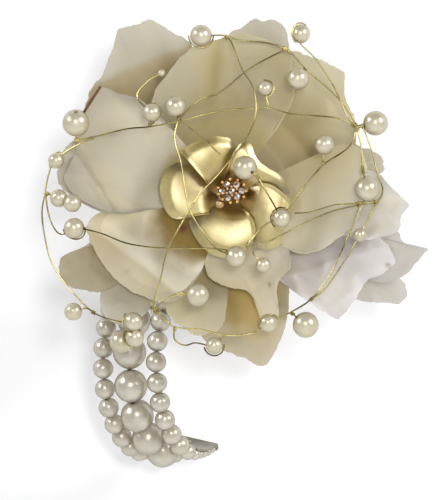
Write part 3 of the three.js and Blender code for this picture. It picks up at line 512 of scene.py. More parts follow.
# Places are in millimetres from the brooch's middle, as seen from the front. A crease has its start, end,
# bend, groove and width. A painted shade has its start, end, depth and width: on the right of its line it
# darkens the petal's colour towards the foot colour.
PETALS = {
    "top_inner": {
        "level": 1, "curl": 1.5, "ripple": 0.6, "crumple": 0.4, "waves": 3, "tint": "olive", "tab": True,
        "creases": [((-7.3, 18.9), (-3.8, 42.2), 0, -1.1, 1.9),
                    ((-18.4, 27.6), (-9.6, 42.2), -0.4, 0, 1.5)],
        "painted_shades": [((15, 19), (11, 46), 0.5, 5), ((-9.5, 19), (-6, 42), 0.9, 1.5),
                   ((-4, 19), (-0.5, 42), -0.9, 3)],
        "edge": [(-20, 17), (-22.5, 25), (-18.5, 34.5), (-11, 42), (-1, 46), (8.5, 45.5), (16.5, 43),
                 (19, 35), (18.5, 27), (14, 19)],
    },
    "right_inner": {
        "level": 0, "curl": 1.5, "ripple": 0.6, "crumple": 0.4, "waves": 3, "tint": "light", "tab": True,
        "creases": [((34.1, -8.8), (32.6, 8.7), 0, -0.7, 3)],
        "painted_shades": [((36, 8), (16, -8), 1, 9)],
        "edge": [(29, 13.2), (33.5, 15), (37.5, 13.5), (39.8, 10), (40.5, 3), (37.5, -6), (31.5, -13),
                 (23, -17), (16, -15)],
    },
    "left_inner": {
        "level": 0, "curl": 0.8, "ripple": 0.6, "crumple": 0.8, "waves": 3, "tint": "cream", "tab": True,
        "creases": [((-40.2, 18), (-22.7, 21.8), -0.25, 0, 2),
                    ((-34, -4.5), (-42.5, 9.5), -0.2, -1.8, 1.3),
                    ((-36.4, 2.2), (-24.2, -3), 0, -0.5, 1.2)],
        "painted_shades": [((-34.6, -4.5), (-43, 9.5), 0.5, 1), ((-31.5, -4.5), (-38, 9.5), -0.5, 3.5)],
        "edge": [(-21, -4), (-30, -5), (-37, -4), (-43, -1), (-46.8, 2.5), (-47, 6.5), (-45, 11),
                 (-42.3, 21.5), (-40.5, 27), (-37, 31), (-31.5, 29), (-25.5, 27.5), (-17, 20)],
    },
    "bottom_inner": {
        "level": 1, "curl": 0.5, "ripple": 0.8, "crumple": 0.8, "waves": 4, "tint": "warm", "tab": True,
        "creases": [((16, -13), (5, -26), 0, 0.6, 2)],
        "painted_shades": [((15, -12), (12, -32), 0.9, 5)],
        "edge": [(18, -15), (18, -22), (14.5, -26), (14.5, -34), (12.5, -39.5), (10, -37), (8, -31),
                 (5.5, -28), (0, -27), (-5, -24.5), (-7, -20)],
    },
    "lower_left_inner": {
        "level": 2, "curl": 0.5, "ripple": 0.6, "crumple": 0.3, "waves": 2, "tint": "strip", "tab": True,
        "creases": [((-35.5, -9.5), (-17, -28), 0, -0.5, 1.2)],
        "painted_shades": [((-38.2, -10.9), (-16.3, -27.8), 0.38, 0.5), ((-20, -7.5), (-34, -21.7), 0.3, 6)],
        "edge": [(-8, -23), (-15, -31), (-23, -30.5), (-28, -28), (-33.5, -24), (-38.5, -17.5),
                 (-41, -10.5), (-39, -6), (-33, -3), (-24, -1)],
    },
    "lower_right": {
        "level": 2, "curl": -1, "ripple": 1, "crumple": 1.8, "waves": 4, "tint": "pale",
        "creases": [((14.6, -39.4), (13.4, -24.8), 0, -0.8, 1.2),
                    ((21.9, -22.5), (31.2, -19.6), 0, 0.5, 1), ((34.1, -29.7), (48.2, -18.8), 0, 0.6, 0.9)],
        "edge": [(40, -9), (49, -18.5), (45.5, -23), (39.5, -25.5), (36, -31), (32.3, -36), (31.8, -36.1),
                 (27, -33.5), (22, -30), (14, -24)],
    },
    "top_left_back": {
        "level": 2, "curl": -1, "ripple": 0.9, "crumple": 0.7, "waves": 3, "tint": "grey",
        "creases": [((-36, 33.9), (-11, 44), -0.45, -0.3, 2)],
        "painted_shades": [((-36, 33.9), (-11, 44), 1, 1.2)],
        "edge": [(-36, 20), (-40.5, 28), (-36.5, 36), (-33.5, 43), (-32.3, 48.1), (-31.9, 48.4),
                 (-26, 50.2), (-22, 51.2), (-17, 48), (-11, 44), (-8, 33)],
    },
    "top_back": {
        "level": 3, "curl": -2, "ripple": 0.9, "crumple": 0.5, "waves": 3, "tint": "grey",
        "edge": [(-3, 36), (0, 46), (4, 49.5), (8, 51.5), (10, 50.6), (12.5, 51.3), (16.5, 49.5),
                 (17.5, 45), (18, 40), (16, 33)],
    },
    "top_right_back": {
        "level": 2, "curl": -1, "ripple": 0.5, "crumple": 0.4, "waves": 3, "tint": "dusk", "tab": True,
        "edge": [(12, 33), (17.5, 41.5), (27, 39.3), (34.2, 36.4), (34.5, 36.1), (34.2, 31), (34.8, 26.5),
                 (37.5, 19), (36, 11)],
    },
    "right_back": {
        "level": 3, "curl": -2, "ripple": 0.6, "crumple": 0.8, "waves": 2, "tint": "grey",
        "edge": [(33, 17), (40, 14), (44, 11.8), (45.8, 8.5), (45.2, 6.5), (42.5, 6.5), (36, 1)],
    },
    "right_outer": {
        "level": 1, "curl": 0, "ripple": 0.9, "crumple": 1.5, "waves": 3, "tint": "blush",
        "creases": [((50.1, -10.9), (44.3, -0.1), 0, 0.5, 1.5)],
        "edge": [(36, 8), (44, 6), (48, 1.5), (52.2, -2.5), (52.4, -3), (50.5, -6.5), (49.2, -10.5),
                 (42, -13), (33, -12)],
    },
    "right_point": {
        "level": 3, "curl": -2, "ripple": 0.9, "crumple": 1.8, "waves": 3, "tint": "mist",
        "edge": [(39, -7), (49, -10), (51.5, -14), (53, -14.6), (58.8, -15.8), (59, -16.2), (54.5, -20.5),
                 (50, -24.5), (42, -25), (30, -20)],
    },
    "lower_right_back": {
        "level": 4, "curl": -2.5, "ripple": 0.6, "crumple": 1.5, "waves": 2, "tint": "mist",
        "edge": [(39, -16.5), (49, -23), (52, -27), (51, -31.5), (46, -31.5), (38, -30.5), (28, -25)],
    },
    "bottom_back": {
        "level": 4, "curl": -1.5, "ripple": 0.6, "crumple": 0.6, "waves": 2, "tint": "cup",
        "creases": [((10.8, -38.2), (-11.1, -38.2), -0.5, 0.4, 1.5)],
        "edge": [(18, -22), (18, -33), (16, -41), (12.5, -48.5), (9.5, -50), (5, -48), (-2, -45.5),
                 (-8, -42), (-11, -36), (-9, -26)],
    },
    "bottom_left": {
        "level": 3, "curl": -1, "ripple": 0.6, "crumple": 0.6, "waves": 2, "tint": "olive",
        "edge": [(0, -30), (-2, -39), (-7, -41), (-13, -39), (-17, -36), (-18.5, -31), (-17, -24)],
    },
    "lower_left_outer": {
        "level": 3, "curl": -2, "ripple": 0.8, "crumple": 1.6, "waves": 3, "tint": "shade",
        "edge": [(-31, -25), (-36, -28), (-42, -27.5), (-48, -26), (-50, -23), (-49, -18.5), (-43, -15.5),
                 (-36, -11), (-27, -7)],
    },
    "lower_left_back": {
        "level": 4, "curl": -2.5, "ripple": 0.6, "crumple": 1, "waves": 2, "tint": "grey",
        "edge": [(-16.5, -26), (-23.5, -34), (-27.5, -37), (-32, -38), (-36, -35.5), (-37.5, -30),
                 (-33, -22), (-25, -15)],
    },
    "left_outer": {
        "level": 1, "curl": -1.5, "ripple": 0.8, "crumple": 1, "waves": 2, "tint": "grey",
        "edge": [(-30, -5.5), (-37, -5), (-44.5, -1), (-49, 3), (-49.5, 9), (-45.5, 15.5), (-38, 19),
                 (-28, 16)],
    },
}
PETAL_LEVEL = 2.8
BOWL_RISE = 12
BOWL_REACH = 50
CREASE_REACH = 5
TAB_SHARE = 0.12
TAB_RADIUS = 12.8
TAB_HEIGHT = -0.2
TAB_STEP = 0.05
TAB_SLOPE = 9
RAGGED = 0.9
TEARS = ((5, 1), (19, 0.5), (45, 0.25))
CREASE_SPAN = (0.02, 0.35)
CRUMPLE_SPAN = (0.1, 0.5)
CRINKLE = 0.8
CRINKLE_PACE = 0.1
FOLD_PACE = 0.15
STEEPEST = 30
SPECKS = [(46.6, -20.5, 0.7, 0.65), (12.2, -26.3, 0.6, 0.6), (14.9, -32.4, 0.6, 0.5), (-13.3, -9.7, 1.4, 1),
          (-29.5, -22.5, 0.9, 0.22)]


def calculated(tree, operation, first, second):
    """What two values give together."""
    return add_node(tree, "ShaderNodeMath", {0: first, 1: second}, operation=operation).outputs["Value"]


# The petal skin paints shade into the colour. It mixes towards the foot colour near the foot and wherever the
# painted shade lines reach, and the rim's colour shows only outside that painted shade.
petal_skin, taken, given = new_group(
    "petal_skin",
    {"Flesh": "Color", "Foot": "Color", "Rim": "Color", "Start": "Float", "Reach": "Float", "Strip": "Float",
     "Fade": "Float"},
    {"Color": "Color", "Normal": "Vector"},
)
coords = add_node(petal_skin, "ShaderNodeTexCoord").outputs
from_foot = add_node(petal_skin, "ShaderNodeSeparateXYZ", {"Vector": coords["UV"]}).outputs["Y"]
clouds = clouded(petal_skin, coords["Object"], 90, detail=4)
out = calculated(petal_skin, "ADD", from_foot, ramp(petal_skin, clouds, 0.25, 0.75, -0.09, 0.09))
near_foot = ramp(petal_skin, out, taken["Start"], taken["Reach"], 1, 0, smooth=True)
# Painted shade from the petal's shade lines, kept per point in the mesh.
crease = add_node(petal_skin, "ShaderNodeAttribute", attribute_name="shade").outputs["Fac"]
shaded = calculated(petal_skin, "MAXIMUM", near_foot, crease)
tinted = mixed(petal_skin, shaded, taken["Flesh"], taken["Foot"])
strip_end = calculated(petal_skin, "ADD", taken["Strip"], taken["Fade"])
near_rim = ramp(petal_skin, from_foot, taken["Strip"], strip_end, smooth=True)
in_light = calculated(petal_skin, "SUBTRACT", 1, crease)
lit_rim = calculated(petal_skin, "MULTIPLY", near_rim, in_light)
rimmed = mixed(petal_skin, lit_rim, tinted, taken["Rim"])
speck = add_node(petal_skin, "ShaderNodeAttribute", attribute_name="speck").outputs["Fac"]
specked = mixed(petal_skin, speck, rimmed, paint(98, 46, 14))
stretch = add_node(petal_skin, "ShaderNodeMapping", {"Vector": coords["UV"], "Scale": (34, 2.2, 1)})
veins = clouded(petal_skin, stretch.outputs["Vector"], 1, detail=3)
vein_light = ramp(petal_skin, veins, 0.3, 0.7, 0.985, 1.01)
veined = add_node(
    petal_skin, "ShaderNodeVectorMath", {0: specked, "Scale": vein_light}, operation="SCALE"
).outputs["Vector"]
height = calculated(petal_skin, "ADD", veins, clouds)
raised = add_node(
    petal_skin, "ShaderNodeBump", {"Height": height, "Strength": 0.3, "Distance": 0.12 * MM}
).outputs["Normal"]
petal_skin.links.new(veined, given["Color"])
petal_skin.links.new(raised, given["Normal"])

# Each tint has the colours of the flesh, the foot and the rim. After them come where the foot's colour starts
# to fade and where it ends, where the rim's colour starts and how far it takes to come in. The foot's colour
# is the petal's own olive, deepened with painted shade: most in the strip tint, where the brooch's shadow
# falls, and in the cup tint, whose deep cup lies in shade. The painted shade lines darken towards it too. The
# shade and dusk tints are darker copies for petals that lie in shade.
PETAL_TINTS = {
    "cream": (paint(203, 193, 170), paint(186, 166, 118), paint(166, 159, 145), 0.1, 0.26, 0.65, 0.35),
    "warm": (paint(214, 204, 186), paint(191, 179, 147), paint(206, 197, 178), 0.1, 0.4, 0.9, 0.1),
    "strip": (paint(240, 230, 204), paint(138, 113, 52), paint(188, 177, 154), 0.14, 0.56, 0.84, 0.03),
    "olive": (paint(186, 176, 147), paint(166, 150, 104), paint(190, 181, 155), 0.1, 0.8, 0.8, 0.2),
    "light": (paint(226, 214, 184), paint(176, 162, 122), paint(214, 206, 186), 0.1, 0.35, 0.6, 0.4),
    "dusk": (paint(187, 178, 152), paint(158, 143, 106), paint(188, 180, 160), 0.3, 0.85, 0.8, 0.2),
    "grey": (paint(176, 170, 157), paint(154, 142, 116), paint(182, 177, 166), 0.3, 0.8, 0.8, 0.2),
    "shade": (paint(154, 144, 121), paint(138, 125, 93), paint(160, 152, 133), 0.1, 0.7, 0.8, 0.2),
    "blush": (paint(198, 192, 182), paint(188, 178, 156), paint(204, 199, 193), 0.1, 0.5, 0.8, 0.2),
    "mist": (paint(177, 172, 167), paint(170, 162, 146), paint(186, 182, 179), 0.1, 0.5, 0.8, 0.2),
    "pale": (paint(206, 199, 194), paint(196, 187, 175), paint(216, 210, 208), 0.1, 0.5, 0.8, 0.2),
    "cup": (paint(170, 160, 138), paint(168, 147, 99), paint(180, 171, 153), 0.5, 0.85, 0.85, 0.15),
}
petal_finishes = {}
for tint, looks in PETAL_TINTS.items():
    material, tree, shader = new_finish(
        f"petal {tint}",
        {"Roughness": 0.55, "IOR": 1.4, "Sheen Weight": 0.1, "Subsurface Weight": 0.3,
         "Subsurface Radius": (1, 0.85, 0.5), "Subsurface Scale": 2 * MM},
    )
    values = zip(("Flesh", "Foot", "Rim", "Start", "Reach", "Strip", "Fade"), looks)
    skin = add_node(tree, "ShaderNodeGroup", values, node_tree=petal_skin)
    tree.links.new(skin.outputs["Color"], shader.inputs["Base Color"])
    tree.links.new(skin.outputs["Normal"], shader.inputs["Normal"])
    petal_finishes[tint] = material


def smoothstep(value, low, high):
    """A share that goes from 0 to 1, with soft ends, while a value goes from low to high."""
    share = min(max((value - low) / (high - low), 0), 1)
    return share * share * (3 - 2 * share)


def past_line(point, start, end):
    """How far a point lies to the left of a line."""
    along = (Vector(end) - Vector(start)).normalized()
    return along.x * (point.y - start[1]) - along.y * (point.x - start[0])


def crease_lift(point, creases):
    """How far the creases of a petal move it at a point: a bend beyond each line, and a groove along it."""
    lift = 0
    for start, end, bend, groove, width in creases:
        beyond = past_line(point, start, end) / width
        eased = width * math.log1p(math.exp(min(beyond, STEEPEST)))
        lift += bend * CREASE_REACH * math.tanh(eased / CREASE_REACH) + groove * math.exp(-(beyond ** 2))
    return lift


def painted_crease_shade(point, painted_shades):
    """How deep the painted shade lies at a point, on the inner side of each shaded line."""
    depth = 0
    for start, end, amount, width in painted_shades:
        beyond = past_line(point, start, end) / width
        depth += amount / (1 + math.exp(min(2 * beyond, STEEPEST)))
    return depth


for seed, (name, petal) in enumerate(PETALS.items()):
    rim = smooth_line([Vector((x, y, 0)) for x, y in petal["edge"]], PETAL_COLUMNS)
    first = math.atan2(rim[0].y, rim[0].x)
    sweep = (first - math.atan2(rim[-1].y, rim[-1].x)) % (2 * math.pi)
    bottom = petal_top - petal["level"] * PETAL_LEVEL
    tab = TAB_SHARE if petal.get("tab") else 0
    bpy.ops.mesh.primitive_grid_add(x_subdivisions=PETAL_COLUMNS, y_subdivisions=PETAL_ROWS, size=2)
    sheet = bpy.context.object
    sheet.name = f"petal_{name}_fine"
    # Painted shade, worked out per point from the petal's shade lines.
    shade = sheet.data.attributes.new("shade", "FLOAT", "POINT")
    speck = sheet.data.attributes.new("speck", "FLOAT", "POINT")
    for vertex in sheet.data.vertices:
        side = vertex.co.x
        row = (vertex.co.y + 1) / 2
        out = max(row - tab, 0) / (1 - tab)
        angle = first - (side + 1) / 2 * sweep
        ray = Vector((math.cos(angle), math.sin(angle), 0))
        tip = rim[round((side + 1) / 2 * PETAL_COLUMNS)]
        tear = sum(
            share * RAGGED * noise.noise(Vector((side * pace, seed * 7.3, 4 * i)))
            for i, (pace, share) in enumerate(TEARS)
        )
        point = (ray * petal_foot).lerp(tip + (tip - ray * petal_foot).normalized() * tear, out)
        bowl = BOWL_RISE * smoothstep(point.length, petal_foot, BOWL_REACH)
        wave = petal["ripple"] * out ** 4 * math.sin(math.pi * petal["waves"] * side)
        crease = crease_lift(point, petal.get("creases", [])) * smoothstep(out, *CREASE_SPAN)
        shade.data[vertex.index].value = painted_crease_shade(point, petal.get("painted_shades", []))
        spot = Vector((*(point.xy * CRINKLE_PACE), seed * 3.1))
        crinkle = CRINKLE * noise.noise(spot) * out
        spot = Vector((*(point.xy * FOLD_PACE), seed * 5.7))
        fold = 0.5 - abs(noise.noise(spot))
        crinkle += petal["crumple"] * fold * smoothstep(out, *CRUMPLE_SPAN)
        point.z = bottom + bowl + petal["curl"] * out ** 3 + wave + crease + crinkle
        if tab:
            over_hub = TAB_HEIGHT - TAB_STEP * petal["level"]
            risen = smoothstep(point.length, petal_foot, petal_foot + TAB_SLOPE)
            point.z += (over_hub - bottom) * (1 - risen)
        if row < tab:
            point = ray * (TAB_RADIUS + (petal_foot - TAB_RADIUS) * row / tab)
            point.z = over_hub
        speck.data[vertex.index].value = max(
            depth * math.exp(-((point.xy - Vector((x, y))).length / radius) ** 2)
            for x, y, radius, depth in SPECKS
        )
        vertex.co = seat + point * MM
    applied(sheet, "Thickness", "SOLIDIFY", thickness=PETAL_THICKNESS, offset=0)
    bpy.ops.object.shade_smooth_by_angle(angle=POLISHED_ANGLE)
    settle(sheet, [petal_finishes[petal["tint"]]], f"petal_{name}")

# Brooch: five domed petals of stamped brass with a satin gold finish, overlapped like a pinwheel and
# soldered to a round base plate. One rim of each is turned up, and the domes are brushed outwards.
# Each petal has three rims: the raised one that shows, the outer one, and the one tucked under its neighbour.
BROOCH_PETALS = [
    {
        "lift": 2.6,
        "raised": [(-1.2, 3.4), (-0.6, 6), (0.6, 9.8), (1.8, 12.5), (2.9, 14.4)],
        "outer": [(2.9, 14.4), (4.4, 15.2), (5.8, 15.2), (7, 13.9), (7.7, 11.6), (9.3, 9.4), (11.7, 7.6),
                  (14.3, 6.2), (16, 4.7), (17.2, 2.5), (18.1, 0.2)],
        "tucked": [(5.2, 0.8), (8.2, 1.4), (11.7, 1.4), (15.2, 0.7), (18.1, 0.2)],
    },
    {
        "lift": 3.2,
        "raised": [(-3.3, -0.7), (-4.6, 0.9), (-6.5, 3.8), (-10.1, 8), (-13.7, 12.3)],
        "outer": [(-13.7, 12.3), (-11.7, 14.1), (-9, 15.5), (-6.4, 16.5), (-4.1, 17), (-1.7, 16.8),
                  (0.3, 16.4), (2.3, 14.1)],
        "tucked": [(-0.6, 3.1), (-0.3, 5.5), (0.9, 9), (2, 11.9), (2.3, 14.1)],
    },
    {
        "lift": 2.2,
        "raised": [(-2.6, -5.3), (-5.2, -5.6), (-8.2, -5.9), (-11.4, -6.6), (-14.3, -7.2)],
        "outer": [(-14.3, -7.2), (-15.7, -6.9), (-17.2, -5.8), (-18.4, -3.9), (-19.2, -1.5), (-19.7, 0.8),
                  (-19.7, 3.1), (-19.1, 5.5), (-17.8, 7.5), (-16, 8.7), (-14, 9.5)],
        "tucked": [(-2.9, -0.9), (-5, 2.3), (-8.2, 5.8), (-11.1, 8.4), (-14, 9.5)],
    },
    {
        "lift": 2.2,
        "raised": [(3.4, -1.6), (4.6, -4), (6.1, -5.5), (7.3, -7.6), (7.9, -10.3), (7.6, -12.6),
                   (6.4, -14.9)],
        "outer": [(6.4, -14.9), (4.4, -16.7), (2.3, -17.8), (0, -18.4), (-2.6, -18.1), (-5.2, -17),
                  (-7.6, -14.9), (-9.5, -12.3), (-10.8, -9.7), (-11.2, -7.9)],
        "tucked": [(-1, -1.2), (-3.2, -3.2), (-6.4, -4.4), (-9.3, -5.9), (-11.2, -7.9)],
    },
    {
        "lift": 1.4,
        "raised": [(4.4, 1.7), (6.4, 2.8), (9, 3.4), (11.7, 3.1), (13.8, 2.1), (16, 0.5), (18.1, -1.4)],
        "outer": [(18.1, -1.4), (17.9, -3.3), (17.2, -5.3), (16.6, -7.6), (16.2, -10.3), (15.9, -12.6),
                  (14.9, -14.6), (12.8, -15.8), (10.2, -16), (7.6, -15.2)],
        "tucked": [(3.5, -4.4), (4.7, -7.4), (5.5, -10.3), (6.1, -13.2), (7.6, -15.2)],
    },
]
DOME_FOOT = 3
DOME_RISE = 1.6
DOME_CROWN = 3.6
SIDE_DROP = 0.4
RIM_LIP = 0.8
DOME_DROP = 0.6
DROP_START = 0.8
ARCH_START = 0.05
ARCH_SPAN = 0.6
ARCH_POWER = 2.2
TILT_LINE = 0.55
FOOT_WIDTH = 0.4
LIP_WIDTH = 0.07
SHEET_METAL = 0.5 * MM
RIM_ROUND = 0.18 * MM
DOME_STEPS = 48

satin_gold, tree, shader = new_finish(
    "satin gold", {"Metallic": 1, "Coat Weight": 0.9, "Coat Roughness": 0.32, "Coat IOR": 2.9}
)
shade = add_node(
    tree, "ShaderNodeGroup",
    {"Light": paint(224, 204, 116), "Dark": paint(190, 164, 62), "Scale": 160}, node_tree=mottle,
)
coords = add_node(tree, "ShaderNodeTexCoord").outputs
offset = add_node(
    tree, "ShaderNodeVectorMath", {0: coords["Object"], 1: tuple(seat)}, operation="SUBTRACT"
).outputs["Vector"]
flat = add_node(
    tree, "ShaderNodeVectorMath", {0: offset, 1: (1, 1, 0)}, operation="MULTIPLY"
).outputs["Vector"]
from_middle = add_node(tree, "ShaderNodeVectorMath", {0: flat}, operation="LENGTH").outputs["Value"]
inner = ramp(tree, from_middle, 3 * MM, 11 * MM, 0.85, 0, smooth=True)
amber = mixed(tree, inner, shade.outputs["Color"], paint(196, 155, 46))
# Painted shade: the gold darkens towards dark olive near the rim that is tucked under the next petal, where
# that petal's shadow falls.
across = add_node(tree, "ShaderNodeSeparateXYZ", {"Vector": coords["UV"]}).outputs["X"]
under = ramp(tree, across, 0.7, 0.98, high=0.75, smooth=True)
painted_tuck_shade = mixed(tree, under, amber, paint(112, 92, 34))
strokes = add_node(tree, "ShaderNodeMapping", {"Vector": coords["UV"], "Scale": (44, 5, 1)}).outputs["Vector"]
brushed = clouded(tree, strokes, 1, detail=3, roughness=0.7)
dulled = ramp(tree, brushed, 0.3, 0.7, 0.32, 0.52)
satin = add_node(tree, "ShaderNodeGroup", {"Scale": 3200, "Depth": 0.03 * MM}, node_tree=grain)
streaked = add_node(
    tree, "ShaderNodeBump",
    {"Height": brushed, "Strength": 0.8, "Distance": 0.07 * MM, "Normal": satin.outputs["Normal"]},
).outputs["Normal"]
tree.links.new(painted_tuck_shade, shader.inputs["Base Color"])
tree.links.new(dulled, shader.inputs["Roughness"])
tree.links.new(streaked, shader.inputs["Normal"])
tree.links.new(streaked, shader.inputs["Coat Normal"])

settle(rounded_copy("brooch_base", edge=0.2 * MM), [satin_gold], "brooch_base")
for i, petal in enumerate(BROOCH_PETALS):
    bpy.ops.mesh.primitive_grid_add(x_subdivisions=DOME_STEPS, y_subdivisions=DOME_STEPS, size=2)
    dome = bpy.context.object
    dome.name = f"brooch_petal_{i + 1}_fine"
    raised, outer, tucked = [
        smooth_line([Vector((x, y, 0)) for x, y in petal[side]], DOME_STEPS)
        for side in ("raised", "outer", "tucked")
    ]
    for vertex in dome.data.vertices:
        across = (vertex.co.x + 1) / 2
        out = (vertex.co.y + 1) / 2
        column = round(across * DOME_STEPS)
        row = round(out * DOME_STEPS)
        foot = raised[0].lerp(tucked[0], across)
        chord = foot.lerp(outer[0].lerp(outer[-1], across), out)
        point = raised[row].lerp(tucked[row], across) + foot * (1 - out) + outer[column] * out - chord
        arch = math.sin(math.pi * (ARCH_START + ARCH_SPAN * out))
        arch *= 1 - SIDE_DROP * abs(2 * across - 1) ** ARCH_POWER
        spread = smoothstep(out, 0, FOOT_WIDTH)
        point.z = DOME_FOOT + DOME_RISE * spread + DOME_CROWN * arch
        point.z += petal["lift"] * (TILT_LINE - across) * spread - DOME_DROP * smoothstep(out, DROP_START, 1)
        point.z += RIM_LIP * (1 - smoothstep(across, 0, LIP_WIDTH)) * spread
        vertex.co = seat + point * MM
    applied(dome, "Sheet", "SOLIDIFY", thickness=SHEET_METAL, offset=0)
    applied(dome, "Turned rim", "BEVEL", width=RIM_ROUND, segments=3, angle_limit=POLISHED_ANGLE)
    bpy.ops.object.shade_smooth_by_angle(angle=POLISHED_ANGLE)
    settle(dome, [satin_gold], f"brooch_petal_{i + 1}")

# Stone setting: a post with a domed head, with beads raised round each stone to hold it.
# The seven stones are cut glass with a facetted crown.
CLUSTER_SHIFT = Vector((1.1, 1, 0)) * MM
CLUSTER_SQUEEZE = (0.95, 0.78, 1, 1)
setting = rounded_copy("stone_setting", edge=0.2 * MM)
setting_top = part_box("stone_setting")[1].z
cluster = Matrix.Translation(seat + CLUSTER_SHIFT)
squeeze = cluster @ Matrix.Diagonal(CLUSTER_SQUEEZE) @ Matrix.Translation(-seat)
setting.data.transform(squeeze)
# The setting head is a dark brownish gold: partly its own darker metal, partly painted shade for the dark
# gaps between the stones.
gap_shade_gold = plain_finish(
    "dull gold", paint(128, 92, 36), paint(84, 58, 20), patch=900, pit=3000, depth=0.03 * MM,
    sockets={"Metallic": 1, "Roughness": 0.5},
)
bead_gold = plain_finish(
    "bead gold", paint(244, 188, 110), paint(232, 164, 78), patch=900, pit=3000, depth=0,
    sockets={"Roughness": 0.25, "Coat Weight": 1, "Coat Roughness": 0.1},
)
setting.data.materials.clear()
setting.data.materials.append(gap_shade_gold)
# Each ring of beads has its radius, how many beads, the turn of its first bead and a bead's radius.
BEAD_RINGS = ((4.3 * MM, 11, 0, 0.46 * MM), (1.65 * MM, 6, 0.5, 0.34 * MM))
BEAD_STRAY = 0.3 * MM
BEAD_RISE = 0.8 * MM
BEAD_TALL = 1.5
SOLDER_BALL = 1.3 * MM
SOLDER_PLACE = Vector((-2.5, -2.7, 0)) * MM
SOLDER_SUNK = 1 * MM


def metal_ball(radius, segments, ring_count, place, tall, finish):
    """A small ball of metal, drawn out upwards."""
    bpy.ops.mesh.primitive_uv_sphere_add(segments=segments, ring_count=ring_count, radius=radius)
    ball = bpy.context.object
    ball.data.transform(Matrix.Translation(place) @ Matrix.Diagonal((1, 1, tall, 1)))
    bpy.ops.object.shade_smooth()
    ball.data.materials.append(finish)
    return ball


balls = []
for distance, count, first, radius in BEAD_RINGS:
    for i in range(count):
        spoke = Matrix.Rotation(2 * math.pi * (i + first) / count, 3, "Z") @ Vector((distance, 0, 0))
        top = squeeze @ (seat + spoke + BEAD_STRAY * noise.noise_vector(spoke * 900))
        top.z = setting_top + BEAD_RISE
        balls.append(metal_ball(radius, 14, 8, top, BEAD_TALL, bead_gold))
top = seat + SOLDER_PLACE
top.z = setting_top - SOLDER_SUNK
balls.append(metal_ball(SOLDER_BALL, 24, 14, top, 1, satin_gold))
setting = joined("stone_setting_fine", [setting, *balls])
settle(setting, [gap_shade_gold, bead_gold, satin_gold], "stone_setting")

# Painted glints: the glass's colour jumps between dark and near-white cells, painted sparkle that stands in
# for the facets' reflections.
cut_glass, tree, shader = new_finish("cut glass", {"Metallic": 0.75, "Roughness": 0.05, "IOR": 1.8})
place = add_node(tree, "ShaderNodeTexCoord").outputs["Object"]
painted_glint_cells = add_node(tree, "ShaderNodeTexVoronoi", {"Vector": place, "Scale": 1400}).outputs["Color"]
sparkle = add_node(tree, "ShaderNodeSeparateXYZ", {"Vector": painted_glint_cells}).outputs["X"]
flash = mixed(tree, sparkle, paint(138, 112, 100), paint(252, 246, 242))
tree.links.new(flash, shader.inputs["Base Color"])
STONES = 7
STONE = 2.1 * MM
STONE_STRAY = 0.5 * MM
STONE_RISE = 0.4 * MM
STONE_FLAT = 0.75
for i in range(STONES):
    node = f"stone_{i + 1}"
    low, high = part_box(node)
    bpy.ops.mesh.primitive_ico_sphere_add(subdivisions=2, radius=STONE / 2)
    stone = bpy.context.object
    middle = squeeze @ ((low + high) / 2) + STONE_STRAY * noise.noise_vector((low + high) * 700)
    middle.z = setting_top + STONE_RISE
    tumble = Matrix.Rotation(1.7 * i, 4, "Z") @ Matrix.Rotation(0.5 + 0.9 * i, 4, "X")
    stone.data.transform(Matrix.Translation(middle) @ Matrix.Diagonal((1, 1, STONE_FLAT, 1)) @ tumble)
    stone.name = f"{node}_fine"
    settle(stone, [cut_glass], node)

# Bar pin: a gold-plated strip with folded lugs and a catch ring, soldered to the back of the base plate.
# A steel needle turns on a rivet in the lugs, and a slotted roller in the catch locks its tip.
pin_steel = plain_finish(
    "pin steel", paint(196, 192, 182), paint(160, 154, 142), patch=200, pit=3000, depth=0.02 * MM,
    sockets={"Metallic": 1, "Roughness": 0.25},
)
settle(rounded_copy("pin_bar", edge=0.1 * MM, segments=2), [satin_gold], "pin_bar")
settle(rounded_copy("pin_needle", edge=0.05 * MM, segments=2), [pin_steel], "pin_needle")
settle(rounded_copy("catch_roller", edge=0.06 * MM, segments=2), [satin_gold], "catch_roller")

# Garland: four lengths of thin gold wire laid over the bloom by hand, crossing one above the other, with
# small pearls twisted into them. Each end is wound round the wire that it starts from. Large pearls hang at
# some of the ends, and a short stub of brown wire is caught in the left length.
GARLAND_WIRE = 0.46 * MM
WIRE_LAYER = 1
CAGE_RISE = 13
CAGE_REACH = 55
CAGE_UNDER_RIM = 2.4
cage_rim = petal_top + BOWL_RISE - CAGE_UNDER_RIM
